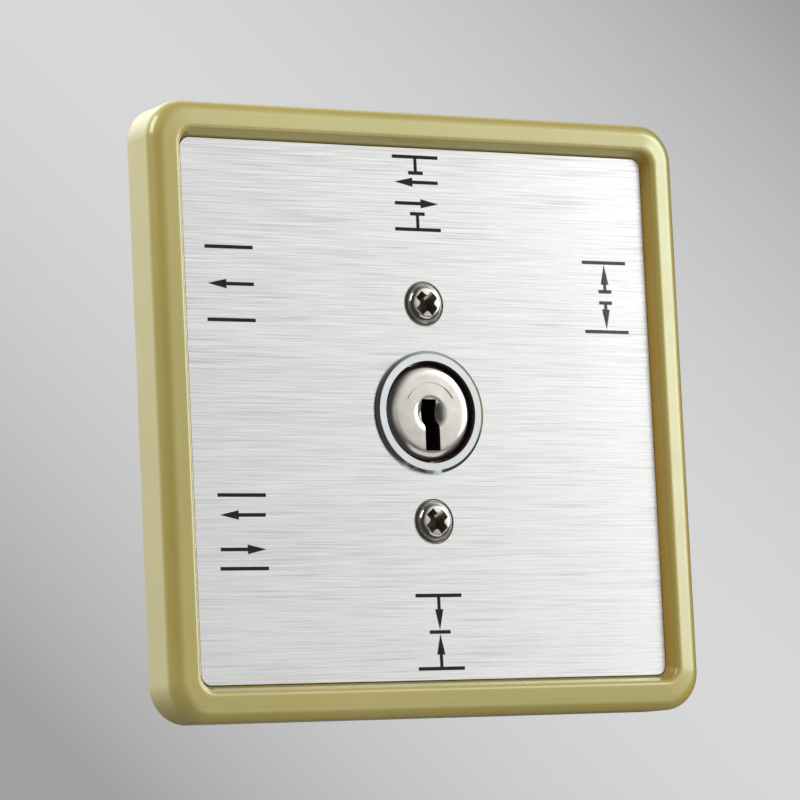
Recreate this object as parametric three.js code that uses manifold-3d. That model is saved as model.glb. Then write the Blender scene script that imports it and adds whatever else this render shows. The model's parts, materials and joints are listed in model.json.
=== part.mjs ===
// Selector key switch: a five-position key lock on a square wall plate, with its rotary switch behind.
// Millimetres. +Z up, the face looks along -Y, +X to the right as seen from the front.
// The origin is where the lock's axis meets the wall; everything at +Y sits inside the wall box.

import * as THREE from 'three';
import { mergeVertices } from 'three/addons/utils/BufferGeometryUtils.js';
import Module from 'manifold-3d';

const wasm = await Module();
wasm.setup();

// ---------------------------------------------------------------- driving dimensions

// Front frame, a square moulding that hides the edge of the plate and of the wall box.
const FRAME_HALF = 43;
const FRAME_CREST = -8;
const FRAME_CORNER_R = 5.5;
const FRAME_EDGE_R = 2.2;
const FRAME_CROWN = 0.09;
const FRAME_INNER_CORNER_R = 1.2;
const FRAME_WALL = 2;
const LIP_HALF = 38.65;
const LIP_R = 0.8;
const OPENING_HALF = 38;
const OPENING_CORNER_R = 1.6;
const LEDGE_HALF = 35.5;
const LEDGE_FRONT = -4.35;
const LEDGE_BACK = -2.8;

// Face plate.
const PLATE_HALF = 37.85;
const PLATE_FRONT = -6;
const PLATE_BACK = -4.5;
const PLATE_CORNER_R = 1.5;
const LOCK_HOLE_GAP = 0.3;

// Face screws above and below the lock: collared pan heads over countersunk necks, with cross recesses.
const SCREW_Z = 15.5;
const SCREW_HEAD_R = 3.1;
const SCREW_DOME = 1;
const SCREW_FLAT_R = 1.72;
const SCREW_DOME_R = 2.65;
const SCREW_FOOT = -6.1;
const SCREW_SHANK_R = 1.6;
const SCREW_HOLE_GAP = 0.35;
const RECESS_ARM_HALF = 0.65;
const RECESS_REACH = 1.9;
const RECESS_DEPTH = 1.7;
const TOP_SCREW_TURN = THREE.MathUtils.degToRad(45);
const BOTTOM_SCREW_TURN = THREE.MathUtils.degToRad(50);
const SCREW_CONE_BACK = -4.55;
const SCREW_TIP = 3.6;

// Lock: bezel, threaded barrel and plug.
const BEZEL_FRONT = -6.6;
const BEZEL_R = 8.75;
const BEZEL_FACE_R = 8.3;
const BEZEL_BEVEL = 0.25;
const BEZEL_SEAT = -6.06;
const BARREL_R = 8;
const BARREL_END = 11;
const COUNTERBORE_R = 7.2;
const COUNTERBORE_FLOOR = -4;
const BORE_R = 6.3;
const PLUG_HEAD_R = 6.95;
const PLUG_FACE = -6.55;
const PLUG_FACE_R = 4.8;
const PLUG_RIM = -5.35;
const PLUG_R = 6;
const PLUG_BOSS_R = 4.4;
const PLUG_BOSS_END = 13.4;
const TAIL_HALF = 3;
const TAIL_END = 20.5;
const CLIP_Y = 11.4;
const CLIP_T = 0.8;
const CLIP_R = 7.4;
const CLIP_DEPTH = 0.6;
const CLIP_MOUTH_HALF = 1.7;

// Keyway: the slot steps sideways part of the way down, and a dimple leads the key in.
const KEYWAY_TOP = 1.85;
const KEYWAY_BOTTOM = -5.5;
const KEYWAY_HALF = 1.2;
const KEYWAY_STEP = 0.18;
const KEYWAY_STEP_Z = -1.1;
const KEYWAY_STEP_DROP = 0.8;
const KEYWAY_END = 10.4;
const DIMPLE_R = 2.8;
const DIMPLE_Z = -0.25;
const DIMPLE_DEPTH = 0.95;
const DIMPLE_STEPS = 6;

// Toothed washer and nut behind the plate.
const WASHER_R = 11.6;
const WASHER_T = 0.6;
const WASHER_NOTCHES = 12;
const WASHER_NOTCH_HALF = 0.5;
const WASHER_NOTCH_DEPTH = 0.8;
const NUT_FLATS = 21;
const NUT_BACK = -1.5;
const NUT_GAP = 0.2;

// Wafer tumblers: thin plates that slide up or down in slots across the plug.
const WAFER_COUNT = 5;
const WAFER_FIRST_Y = -1.5;
const WAFER_PITCH = 2.4;
const WAFER_T = 1;
const WAFER_HALF = 2.4;
const WAFER_R = 5.9;
const WAFER_GROOVE_R = 7.1;
const WAFER_SLOT_HALF = 0.7;
const WAFER_GAP = 0.2;
const WINDOW_HALF = 1.45;
const WINDOW_LOW = -4.6;
const WINDOW_HIGH = 1.4;
const TAB_REACH = 4.05;
const TAB_LOW = 0.75;
const TAB_HIGH = 1.45;

// Springs of the wafers, each in a pocket of the plug.
const SPRING_X = 3.35;
const SPRING_FOOT = -2.2;
const SPRING_TOP = 0.55;
const SPRING_R = 0.45;
const SPRING_WIRE_R = 0.12;
const SPRING_TURNS = 3.5;
const SPRING_STEPS = 28;
const POCKET_NEAR = 2.2;
const POCKET_FAR = 4.3;
const POCKET_TOP = 2.6;

const POSITION_STEP = Math.PI / 3;

// Mounting bridge and its riveted pillars.
const BRIDGE_HALF_X = 38;
const BRIDGE_HALF_Z = 28;
const BRIDGE_T = 1.2;
const BRIDGE_FLANGE = 3.4;
const BRIDGE_FLANGE_HALF = 20;
const BRIDGE_END_HALF = 10;
const BRIDGE_WAIST_HALF = 12;
const BRIDGE_SHOULDER_X = 24;
const BRIDGE_WEB_X = 22;
const BRIDGE_SCREW_HOLE_R = 1.7;
const BOX_SCREW_X = 30.15;
const SLOT_HALF_W = 2.5;
const SLOT_HALF_L = 5;
const BRIDGE_HOLE_R = 9;
const BRIDGE_SCREW_X = 17.5;
const PILLAR_R = 3.2;
const PILLAR_SPIGOT_R = 2.7;
const PILLAR_BORE_R = 1.9;
const PILLAR_END = 1.2;

// Slotted pan-head screws, [head radius, head height, shank radius, shank length].
const BRIDGE_SCREW = [2.8, 1.8, 1.35, 9];
const BOARD_SCREW = [2.5, 1.6, 1.25, 9];
const TERMINAL_SCREW = [1.8, 1.6, 1, 4];
const SLOT_HALF = 0.35;
const SLOT_SHARE = 0.45;
const HEAD_TAPER = 0.8;

// Switch housing, rotor and contact board.
const HOUSING_HALF = 22;
const HOUSING_FRONT = 0.4;
const HOUSING_FLOOR = 2.4;
const HOUSING_BACK = 21.9;
const HOUSING_WALL = 1.8;
const HOUSING_CORNER_R = 4;
const CORNER_SCREW = 18.6;
const BOSS_R = 3.2;
const BOSS_HOLE_R = 1.5;
const BOSS_HOLE_FLOOR = 12;
const SIDE_BOSS_R = 2.9;
const SIDE_BOSS_END = 10;
const SIDE_BOSS_HOLE_R = 1.65;
const SIDE_BOSS_HOLE_END = 9.2;
const HOUSING_SPIGOT_GAP = 0.6;
const STAR_Y = 14;
const STAR_T = 2.4;
const STAR_R = 8.5;
const STAR_LOBE = 1;
const STAR_POINTS = 72;
const STAR_LOBES = 6;
const STAR_GAP = 0.15;
const ROTOR_HUB_R = 6;
const ROTOR_DISC_R = 10.8;
const ROTOR_FRONT = 13.8;
const ROTOR_DISC_FRONT = 17;
const ROTOR_DISC_BACK = 20;
const ROTOR_BACK = 23.4;
const LUG_R = 13.3;
const LUG_HALF_ANGLE = THREE.MathUtils.degToRad(8);
const LUG_ANGLE = THREE.MathUtils.degToRad(150);
const STOP_ANGLE = THREE.MathUtils.degToRad(90);
const STOP_HALF_ANGLE = THREE.MathUtils.degToRad(51);
const STOP_R0 = 11.6;
const STOP_R1 = 14.6;
const BOARD_FRONT = 22;
const BOARD_BACK = 23.6;
const CONTACT_FRONT = 21.45;
const CONTACT_BACK = 21.9;
const CONTACT_R = 14;
const COMMON_R = 7.75;
const RIVET_R = 0.8;
const CONTACT_PAD_R0 = 12.2;
const CONTACT_PAD_R1 = 15.6;
const CONTACT_PAD_HALF_ANGLE = 0.24;
const COMMON_HALF_W = 0.9;
const RIVET_SPOT_R = 13.4;
const RIVET_REACH = 24.4;
const RIVET_HEAD_T = 0.5;
const RIVET_HEAD_R = 1.3;
const RIVET_CROWN_R = 1;
const RIVET_GAP = 0.25;
const BOARD_HOLE_R = 1.7;
const WIPER_T = 0.35;
const WIPER_GAP = 0.15;
const WIPER_RING_R = 8.7;
const WIPER_ARM_HALF = 1.6;
const WIPER_SLIT_HALF = 0.2;
const WIPER_SLIT_LENGTH = 3.4;
const WIPER_FINGER_X = 0.8;

// Leaf spring and its two posts.
const LEAF_X = 13;
const LEAF_T = 0.45;
const LEAF_HALF = 14.7;
const LEAF_KNEE = 4.2;
const LEAF_NOSE_X = 7.9;
const LEAF_NOSE_HALF = 0.5;
const LEAF_POST_NEAR = 12.9;
const LEAF_POST_FAR = 15.6;
const LEAF_SLOT_NEAR = 12.5;
const LEAF_SLOT_FAR = 15;

// Terminal block on the back of the contact board.
const TERMINAL_COUNT = 6;
const TERMINAL_PITCH = 5.08;
const TERMINAL_X = 17;
const BLOCK_X0 = 13.4;
const BLOCK_X1 = 21.6;
const BLOCK_Y0 = 23.8;
const BLOCK_Y1 = 33.3;
const CAGE_SINK = 0.9;
const CAGE_T = 4.6;
const CAGE_GAP = 0.3;
const CAGE_HALF_Z = 1.75;
const CAGE_MOUTH_HALF_Z = 1.2;
const CAGE_X0 = 14.8;
const CAGE_X1 = 19.4;
const CAGE_THREAD_R = 1.25;
const TERMINAL_SCREW_WELL_R = 2.1;

// ---------------------------------------------------------------- finishes

function finish(color, roughness, metalness) {
  return new THREE.MeshStandardMaterial({ color, roughness, metalness });
}

const champagne = finish(0xb9ad78, 0.45, 0.3);
const brushed = finish(0xd5d6d3, 0.35, 0.9);
const chrome = finish(0xe6e9ee, 0.08, 1);
const nickel = finish(0xd8d2c8, 0.2, 1);
const screwNickel = finish(0x8f8b84, 0.25, 1);
const zinc = finish(0xaeb3b8, 0.4, 0.9);
const brass = finish(0xc9a552, 0.35, 0.9);
const springSteel = finish(0x9aa0a6, 0.3, 1);
const blackPlastic = finish(0x24262a, 0.6, 0);
const whitePlastic = finish(0xe4e1d6, 0.5, 0);
const greenPlastic = finish(0x2f7d4a, 0.5, 0);
const boardBrown = finish(0x8a5a2c, 0.6, 0);

// ---------------------------------------------------------------- shape helpers

// Closed geometry to solid: shared points merged, zero-area triangles dropped.
function solid(geometry) {
  const bare = geometry.clone();
  bare.deleteAttribute('normal');
  bare.deleteAttribute('uv');
  const merged = mergeVertices(bare, 1e-5);
  const index = merged.index.array;
  const triangles = [];
  for (let i = 0; i < index.length; i += 3) {
    const [a, b, c] = [index[i], index[i + 1], index[i + 2]];
    if (a !== b && b !== c && c !== a) triangles.push(a, b, c);
  }
  return new wasm.Manifold(new wasm.Mesh({
    numProp: 3,
    vertProperties: new Float32Array(merged.attributes.position.array),
    triVerts: new Uint32Array(triangles),
  }));
}

function geometryOf(manifold) {
  const mesh = manifold.getMesh();
  const geometry = new THREE.BufferGeometry();
  geometry.setAttribute('position', new THREE.BufferAttribute(mesh.vertProperties, 3));
  geometry.setIndex(new THREE.BufferAttribute(mesh.triVerts, 1));
  return geometry;
}

function cut(body, ...tools) {
  return tools.reduce((left, tool) => left.subtract(tool), body);
}

function join(body, ...others) {
  return others.reduce((left, other) => left.add(other), body);
}

// Box between two corners.
function box(x0, x1, y0, y1, z0, z1) {
  const geometry = new THREE.BoxGeometry(x1 - x0, y1 - y0, z1 - z0);
  geometry.translate((x0 + x1) / 2, (y0 + y1) / 2, (z0 + z1) / 2);
  return solid(geometry);
}

// Cylinder or cone about a line along Y.
function post(x, z, y0, y1, r0, r1 = r0, sides = 16) {
  const geometry = new THREE.CylinderGeometry(r1, r0, y1 - y0, sides);
  geometry.translate(x, (y0 + y1) / 2, z);
  return solid(geometry);
}

// Solid of revolution about a line along Y. Points are [radius, y], with y rising along the outside.
function turned(points, sides = 36, x = 0, z = 0) {
  const profile = points.map(([r, y]) => new THREE.Vector2(r, y));
  const geometry = new THREE.LatheGeometry(profile, sides);
  geometry.translate(x, 0, z);
  return solid(geometry);
}

// Ring of square section about the Y axis.
function ring(r0, r1, y0, y1, sides = 36) {
  return turned([[r0, y0], [r1, y0], [r1, y1], [r0, y1], [r0, y0]], sides);
}

// Flat shape drawn in X and Z, with its thickness from y0 to y1.
function slab(shape, y0, y1, curveSegments = 4) {
  const geometry = new THREE.ExtrudeGeometry(shape, { depth: y1 - y0, bevelEnabled: false, curveSegments });
  geometry.rotateX(Math.PI / 2);
  geometry.translate(0, y1, 0);
  return solid(geometry);
}

function roundedSquare(half, r) {
  const shape = new THREE.Shape();
  const inner = half - r;
  shape.absarc(inner, inner, r, 0, Math.PI / 2);
  shape.absarc(-inner, inner, r, Math.PI / 2, Math.PI);
  shape.absarc(-inner, -inner, r, Math.PI, 1.5 * Math.PI);
  shape.absarc(inner, -inner, r, 1.5 * Math.PI, 2 * Math.PI);
  shape.closePath();
  return shape;
}

// Direction of a switch position: zero points down, and it grows clockwise as seen from the front.
function positionDirection(angle) {
  return new THREE.Vector2(-Math.sin(angle), -Math.cos(angle));
}

// Part of a flat ring, centred on a switch position.
function sector(r0, r1, angle, halfAngle, y0, y1) {
  const middle = positionDirection(angle).angle();
  const shape = new THREE.Shape();
  shape.absarc(0, 0, r1, middle - halfAngle, middle + halfAngle, false);
  shape.absarc(0, 0, r0, middle + halfAngle, middle - halfAngle, true);
  shape.closePath();
  return slab(shape, y0, y1, 4);
}

// Points of a quarter round from one [u, y] to another about a centre.
function quarter(centre, from, to, steps) {
  const points = [];
  for (let i = 0; i <= steps; i += 1) {
    const turn = (i / steps) * (Math.PI / 2);
    const a = Math.cos(turn);
    const b = Math.sin(turn);
    points.push([
      centre[0] + a * (from[0] - centre[0]) + b * (to[0] - centre[0]),
      centre[1] + a * (from[1] - centre[1]) + b * (to[1] - centre[1]),
    ]);
  }
  return points;
}

const switchModel = new THREE.Group();

function addPart(name, manifold, material) {
  const mesh = new THREE.Mesh(geometryOf(manifold), material);
  mesh.name = name;
  switchModel.add(mesh);
}

// ---------------------------------------------------------------- front frame

// Corner radius of the frame's rounded-square outline at a given half width.
function frameCornerRadius(half) {
  const slope = (FRAME_CORNER_R - OPENING_CORNER_R) / (FRAME_HALF - OPENING_HALF);
  return Math.max(FRAME_INNER_CORNER_R, FRAME_CORNER_R - slope * (FRAME_HALF - half));
}

// Square ring made by carrying a closed section of [half width, y] points around rounded squares.
function squareRing(section, cornerSteps) {
  const perimeter = 4 * (cornerSteps + 1);
  const positions = [];
  for (const [half, y] of section) {
    const r = frameCornerRadius(half);
    for (let corner = 0; corner < 4; corner += 1) {
      const middle = Math.PI / 4 + corner * (Math.PI / 2);
      const centreX = Math.sign(Math.cos(middle)) * (half - r);
      const centreZ = Math.sign(Math.sin(middle)) * (half - r);
      for (let step = 0; step <= cornerSteps; step += 1) {
        const angle = corner * (Math.PI / 2) + (step / cornerSteps) * (Math.PI / 2);
        positions.push(centreX + r * Math.cos(angle), y, centreZ + r * Math.sin(angle));
      }
    }
  }
  const index = [];
  for (let i = 0; i < section.length; i += 1) {
    const next = (i + 1) % section.length;
    for (let j = 0; j < perimeter; j += 1) {
      const beside = (j + 1) % perimeter;
      const a = i * perimeter + j;
      const b = i * perimeter + beside;
      const c = next * perimeter + beside;
      const d = next * perimeter + j;
      index.push(a, b, c, a, c, d);
    }
  }
  const geometry = new THREE.BufferGeometry();
  geometry.setAttribute('position', new THREE.Float32BufferAttribute(positions, 3));
  geometry.setIndex(index);
  return solid(geometry);
}

const frameInner = FRAME_HALF - FRAME_WALL;
const shoulder = FRAME_CREST + FRAME_CROWN;
const edgeCentre = [FRAME_HALF - FRAME_EDGE_R, shoulder + FRAME_EDGE_R];
const lipCentre = [LIP_HALF + LIP_R, FRAME_CREST + LIP_R];
const frameSection = [
  [FRAME_HALF, 0],
  ...quarter(edgeCentre, [FRAME_HALF, edgeCentre[1]], [edgeCentre[0], shoulder], 5),
  ...quarter(lipCentre, [lipCentre[0], FRAME_CREST], [LIP_HALF, lipCentre[1]], 3),
  [OPENING_HALF, PLATE_FRONT],
  [OPENING_HALF, LEDGE_FRONT],
  [LEDGE_HALF, LEDGE_FRONT],
  [LEDGE_HALF, LEDGE_BACK],
  [frameInner, LEDGE_BACK],
  [frameInner, 0],
];
addPart('front_frame', squareRing(frameSection, 6), champagne);

// ---------------------------------------------------------------- face plate and its screws

const plateSlab = slab(roundedSquare(PLATE_HALF, PLATE_CORNER_R), PLATE_FRONT, PLATE_BACK, 5);
const lockHoleR = BARREL_R + LOCK_HOLE_GAP;
const lockHole = post(0, 0, PLATE_FRONT - 1, PLATE_BACK + 1, lockHoleR, lockHoleR, 36);
const sinkR = SCREW_HEAD_R + SCREW_HOLE_GAP;
const shankHoleR = SCREW_SHANK_R + SCREW_HOLE_GAP;
const screwHoles = [SCREW_Z, -SCREW_Z].map((z) => join(
  post(0, z, PLATE_FRONT - 0.1, PLATE_BACK, sinkR, shankHoleR, 24),
  post(0, z, PLATE_FRONT, PLATE_BACK + 1, shankHoleR, shankHoleR, 24),
));
addPart('face_plate', cut(plateSlab, lockHole, ...screwHoles), brushed);

// Cross recess of a screw head, turned by an angle about the screw's axis.
function crossRecess(z, top, turn) {
  const arms = [0, Math.PI / 2].map((quarterTurn) => {
    const geometry = new THREE.BoxGeometry(2 * RECESS_REACH, 2 * RECESS_DEPTH, 2 * RECESS_ARM_HALF);
    geometry.rotateY(turn + quarterTurn);
    geometry.translate(0, top, z);
    return solid(geometry);
  });
  return join(...arms);
}

function faceScrew(z, turn) {
  const top = PLATE_FRONT - SCREW_DOME;
  const crown = [SCREW_FLAT_R, top + 0.06];
  const dome = quarter([SCREW_FLAT_R, SCREW_FOOT], crown, [SCREW_DOME_R, SCREW_FOOT], 5);
  const body = turned([
    [0, top],
    ...dome,
    [SCREW_HEAD_R, SCREW_FOOT + 0.24],
    [SCREW_SHANK_R, SCREW_CONE_BACK],
    [SCREW_SHANK_R, SCREW_TIP - 0.5],
    [SCREW_SHANK_R - 0.5, SCREW_TIP],
    [0, SCREW_TIP],
  ], 24, 0, z);
  return cut(body, crossRecess(z, top, turn));
}

addPart('face_screw_top', faceScrew(SCREW_Z, TOP_SCREW_TURN), screwNickel);
addPart('face_screw_bottom', faceScrew(-SCREW_Z, BOTTOM_SCREW_TURN), screwNickel);

// ---------------------------------------------------------------- lock housing, washer and nut

const waferYs = Array.from({ length: WAFER_COUNT }, (_, i) => WAFER_FIRST_Y + i * WAFER_PITCH);

const housingBody = turned([
  [COUNTERBORE_R, BEZEL_FRONT],
  [BEZEL_FACE_R, BEZEL_FRONT],
  [BEZEL_R, BEZEL_FRONT + BEZEL_BEVEL],
  [BEZEL_R, BEZEL_SEAT],
  [BARREL_R, BEZEL_SEAT],
  [BARREL_R, BARREL_END - 0.6],
  [BARREL_R - 0.6, BARREL_END],
  [BORE_R, BARREL_END],
  [BORE_R, COUNTERBORE_FLOOR],
  [COUNTERBORE_R, COUNTERBORE_FLOOR],
  [COUNTERBORE_R, BEZEL_FRONT],
], 48);
const grooveFront = waferYs[0] - WAFER_T;
const grooveBack = waferYs[WAFER_COUNT - 1] + WAFER_T;
const grooveWidth = 2 * WAFER_HALF + 0.6;
const waferGrooves = [0, 1, 2].map((step) => {
  const geometry = new THREE.BoxGeometry(grooveWidth, grooveBack - grooveFront, 2 * WAFER_GROOVE_R);
  geometry.rotateY(step * POSITION_STEP);
  geometry.translate(0, (grooveFront + grooveBack) / 2, 0);
  return solid(geometry);
});
addPart('lock_housing', cut(housingBody, ...waferGrooves), chrome);

const washerFront = PLATE_BACK + 0.1;
const washerBack = washerFront + WASHER_T;
const washerNotches = Array.from({ length: WASHER_NOTCHES }, (_, i) => {
  const geometry = new THREE.BoxGeometry(2 * WASHER_NOTCH_HALF, 2 * WASHER_T + 1, 2 * WASHER_NOTCH_DEPTH);
  geometry.translate(0, (washerFront + washerBack) / 2, WASHER_R);
  geometry.rotateY((i + 0.5) * (2 * Math.PI / WASHER_NOTCHES));
  return solid(geometry);
});
const washerRing = ring(lockHoleR, WASHER_R, washerFront, washerBack);
addPart('lock_washer', cut(washerRing, ...washerNotches), zinc);

// Hexagonal nut with two flats facing up and down, between the screw pillars.
function hexNut(acrossFlats, holeR, y0, y1) {
  const cornerR = acrossFlats / Math.sqrt(3);
  const geometry = new THREE.CylinderGeometry(cornerR, cornerR, y1 - y0, 6);
  geometry.rotateY(Math.PI / 6);
  geometry.translate(0, (y0 + y1) / 2, 0);
  return cut(solid(geometry), post(0, 0, y0 - 1, y1 + 1, holeR, holeR, 36));
}
addPart('lock_nut', hexNut(NUT_FLATS, BARREL_R + NUT_GAP, washerBack + 0.1, NUT_BACK), zinc);

// ---------------------------------------------------------------- plug, clip and wafers

const keywayShape = new THREE.Shape([
  [-KEYWAY_HALF - KEYWAY_STEP, KEYWAY_TOP],
  [-KEYWAY_HALF - KEYWAY_STEP, KEYWAY_STEP_Z],
  [-KEYWAY_HALF + KEYWAY_STEP, KEYWAY_STEP_Z - KEYWAY_STEP_DROP],
  [-KEYWAY_HALF + KEYWAY_STEP, KEYWAY_BOTTOM],
  [KEYWAY_HALF + KEYWAY_STEP, KEYWAY_BOTTOM],
  [KEYWAY_HALF + KEYWAY_STEP, KEYWAY_STEP_Z - KEYWAY_STEP_DROP],
  [KEYWAY_HALF - KEYWAY_STEP, KEYWAY_STEP_Z],
  [KEYWAY_HALF - KEYWAY_STEP, KEYWAY_TOP],
].map(([x, z]) => new THREE.Vector2(x, z)));

// Wafers alternate: even ones spring up and bear on the right, odd ones spring down and bear on the left.
function waferSide(i) {
  return i % 2 === 0 ? 1 : -1;
}

// Box mirrored in X and Z to the side that a wafer springs to.
function sidedBox(side, x0, x1, y0, y1, z0, z1) {
  const xs = [side * x0, side * x1].sort((a, b) => a - b);
  const zs = [side * z0, side * z1].sort((a, b) => a - b);
  return box(xs[0], xs[1], y0, y1, zs[0], zs[1]);
}

const clipGrooveR = PLUG_BOSS_R - CLIP_DEPTH;
const plugBlank = turned([
  [0, PLUG_FACE],
  ...quarter([PLUG_FACE_R, PLUG_RIM], [PLUG_FACE_R, PLUG_FACE], [PLUG_HEAD_R, PLUG_RIM], 4),
  [PLUG_HEAD_R, COUNTERBORE_FLOOR - 0.3],
  [PLUG_R, COUNTERBORE_FLOOR - 0.3],
  [PLUG_R, BARREL_END],
  [PLUG_BOSS_R, BARREL_END],
  [PLUG_BOSS_R, CLIP_Y - 0.1],
  [clipGrooveR, CLIP_Y - 0.1],
  [clipGrooveR, CLIP_Y + CLIP_T + 0.1],
  [PLUG_BOSS_R, CLIP_Y + CLIP_T + 0.1],
  [PLUG_BOSS_R, PLUG_BOSS_END],
  [0, PLUG_BOSS_END],
]);
const plugTail = box(-TAIL_HALF, TAIL_HALF, PLUG_BOSS_END - 0.5, TAIL_END, -TAIL_HALF, TAIL_HALF);
const keyway = slab(keywayShape, PLUG_FACE - 1, KEYWAY_END);
const dishPoints = Array.from({ length: DIMPLE_STEPS + 1 }, (_, i) => {
  const share = 1 - i / DIMPLE_STEPS;
  const sink = DIMPLE_DEPTH * (1 + Math.cos(Math.PI * share)) / 2;
  return [DIMPLE_R * share, PLUG_FACE + 0.015 + sink];
});
const dimple = turned([
  [0, PLUG_FACE - 0.3],
  [DIMPLE_R, PLUG_FACE - 0.3],
  ...dishPoints,
], 32, 0, DIMPLE_Z);
const slotHalf = WAFER_HALF + WAFER_GAP;
const waferSlots = waferYs.flatMap((y, i) => {
  const y0 = y - WAFER_SLOT_HALF;
  const y1 = y + WAFER_SLOT_HALF;
  return [
    box(-slotHalf, slotHalf, y0, y1, -PLUG_R - 1, PLUG_R + 1),
    sidedBox(waferSide(i), POCKET_NEAR, POCKET_FAR, y0, y1, SPRING_FOOT - WAFER_GAP, POCKET_TOP),
  ];
});
addPart('lock_plug', cut(join(plugBlank, plugTail), keyway, dimple, ...waferSlots), nickel);

const clipMouth = box(
  -CLIP_MOUTH_HALF, CLIP_MOUTH_HALF, CLIP_Y - 1, CLIP_Y + CLIP_T + 1, -CLIP_R - 1, -1,
);
const clipRing = ring(clipGrooveR + 0.2, CLIP_R, CLIP_Y, CLIP_Y + CLIP_T);
addPart('plug_clip', cut(clipRing, clipMouth), springSteel);

// One wafer at its height: a slice of the plug's round with a window for the key and a spring tab.
function wafer(y, side) {
  const y0 = y - WAFER_T / 2;
  const y1 = y + WAFER_T / 2;
  const slice = post(0, 0, y0, y1, WAFER_R, WAFER_R, 36).intersect(
    box(-WAFER_HALF, WAFER_HALF, y0 - 1, y1 + 1, -WAFER_R, WAFER_R),
  );
  const tab = sidedBox(side, WAFER_HALF - 0.3, TAB_REACH, y0, y1, TAB_LOW, TAB_HIGH);
  const window = box(-WINDOW_HALF, WINDOW_HALF, y0 - 1, y1 + 1, WINDOW_LOW, WINDOW_HIGH);
  return cut(join(slice, tab), window);
}

class SpringHelix extends THREE.Curve {
  constructor(x, y, z0, z1, radius, turns) {
    super();
    Object.assign(this, { x, y, z0, z1, radius, turns });
  }

  getPoint(t, target = new THREE.Vector3()) {
    const angle = 2 * Math.PI * this.turns * t;
    return target.set(
      this.x + this.radius * Math.cos(angle),
      this.y + this.radius * Math.sin(angle),
      THREE.MathUtils.lerp(this.z0, this.z1, t),
    );
  }
}

function coilSpring(path, wireR, steps) {
  const wire = new THREE.Shape();
  wire.absarc(0, 0, wireR, 0, 2 * Math.PI);
  const settings = { steps, extrudePath: path, bevelEnabled: false, curveSegments: 2 };
  return solid(new THREE.ExtrudeGeometry(wire, settings));
}

waferYs.forEach((y, i) => {
  const side = waferSide(i);
  addPart(`wafer_${i + 1}`, wafer(y, side), brass);
  const foot = side * (SPRING_FOOT + 0.1);
  const top = side * (SPRING_TOP - 0.05);
  const helix = new SpringHelix(side * SPRING_X, y, foot, top, SPRING_R, SPRING_TURNS);
  addPart(`wafer_spring_${i + 1}`, coilSpring(helix, SPRING_WIRE_R, SPRING_STEPS), springSteel);
});

// ---------------------------------------------------------------- mounting bridge

// Upper right quarter of the bridge's outline, from its end to its top edge.
const bridgeQuarter = [
  [BRIDGE_HALF_X, BRIDGE_END_HALF],
  [BRIDGE_SHOULDER_X, BRIDGE_WAIST_HALF],
  [BRIDGE_WEB_X, BRIDGE_HALF_Z],
];
const bridgeOutline = [
  ...bridgeQuarter.map(([x, z]) => [x, z]),
  ...bridgeQuarter.map(([x, z]) => [-x, z]).reverse(),
  ...bridgeQuarter.map(([x, z]) => [-x, -z]),
  ...bridgeQuarter.map(([x, z]) => [x, -z]).reverse(),
];
const bridgeShape = new THREE.Shape(bridgeOutline.map(([x, z]) => new THREE.Vector2(x, z)));

// Slotted hole along X, for a box screw.
function slotTool(x, y0, y1) {
  const shape = new THREE.Shape();
  const run = SLOT_HALF_L - SLOT_HALF_W;
  shape.absarc(x + run, 0, SLOT_HALF_W, -Math.PI / 2, Math.PI / 2);
  shape.absarc(x - run, 0, SLOT_HALF_W, Math.PI / 2, 1.5 * Math.PI);
  shape.closePath();
  return slab(shape, y0, y1);
}

const bridgePlate = slab(bridgeShape, -BRIDGE_T, 0);
const bridgeFlanges = [1, -1].map((side) => {
  const zs = [side * BRIDGE_HALF_Z, side * (BRIDGE_HALF_Z - BRIDGE_T)].sort((a, b) => a - b);
  return box(-BRIDGE_FLANGE_HALF, BRIDGE_FLANGE_HALF, -BRIDGE_T, BRIDGE_FLANGE, zs[0], zs[1]);
});
addPart('mounting_bridge', cut(
  join(bridgePlate, ...bridgeFlanges),
  post(0, 0, -3, 2, BRIDGE_HOLE_R, BRIDGE_HOLE_R, 36),
  ...[SCREW_Z, -SCREW_Z].map((z) => post(0, z, -3, 2, PILLAR_SPIGOT_R + 0.1)),
  ...[BRIDGE_SCREW_X, -BRIDGE_SCREW_X].map((x) => post(x, 0, -3, 2, BRIDGE_SCREW_HOLE_R)),
  ...[BOX_SCREW_X, -BOX_SCREW_X].map((x) => slotTool(x, -3, 2)),
), zinc);

// Riveted pillar with the thread that a face screw runs into.
function pillar(z) {
  return turned([
    [PILLAR_BORE_R, PLATE_BACK + 0.15],
    [PILLAR_R, PLATE_BACK + 0.15],
    [PILLAR_R, -BRIDGE_T - 0.05],
    [PILLAR_SPIGOT_R, -BRIDGE_T - 0.05],
    [PILLAR_SPIGOT_R, PILLAR_END],
    [PILLAR_BORE_R, PILLAR_END],
    [PILLAR_BORE_R, PLATE_BACK + 0.15],
  ], 16, 0, z);
}
addPart('pillar_top', pillar(SCREW_Z), zinc);
addPart('pillar_bottom', pillar(-SCREW_Z), zinc);

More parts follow.
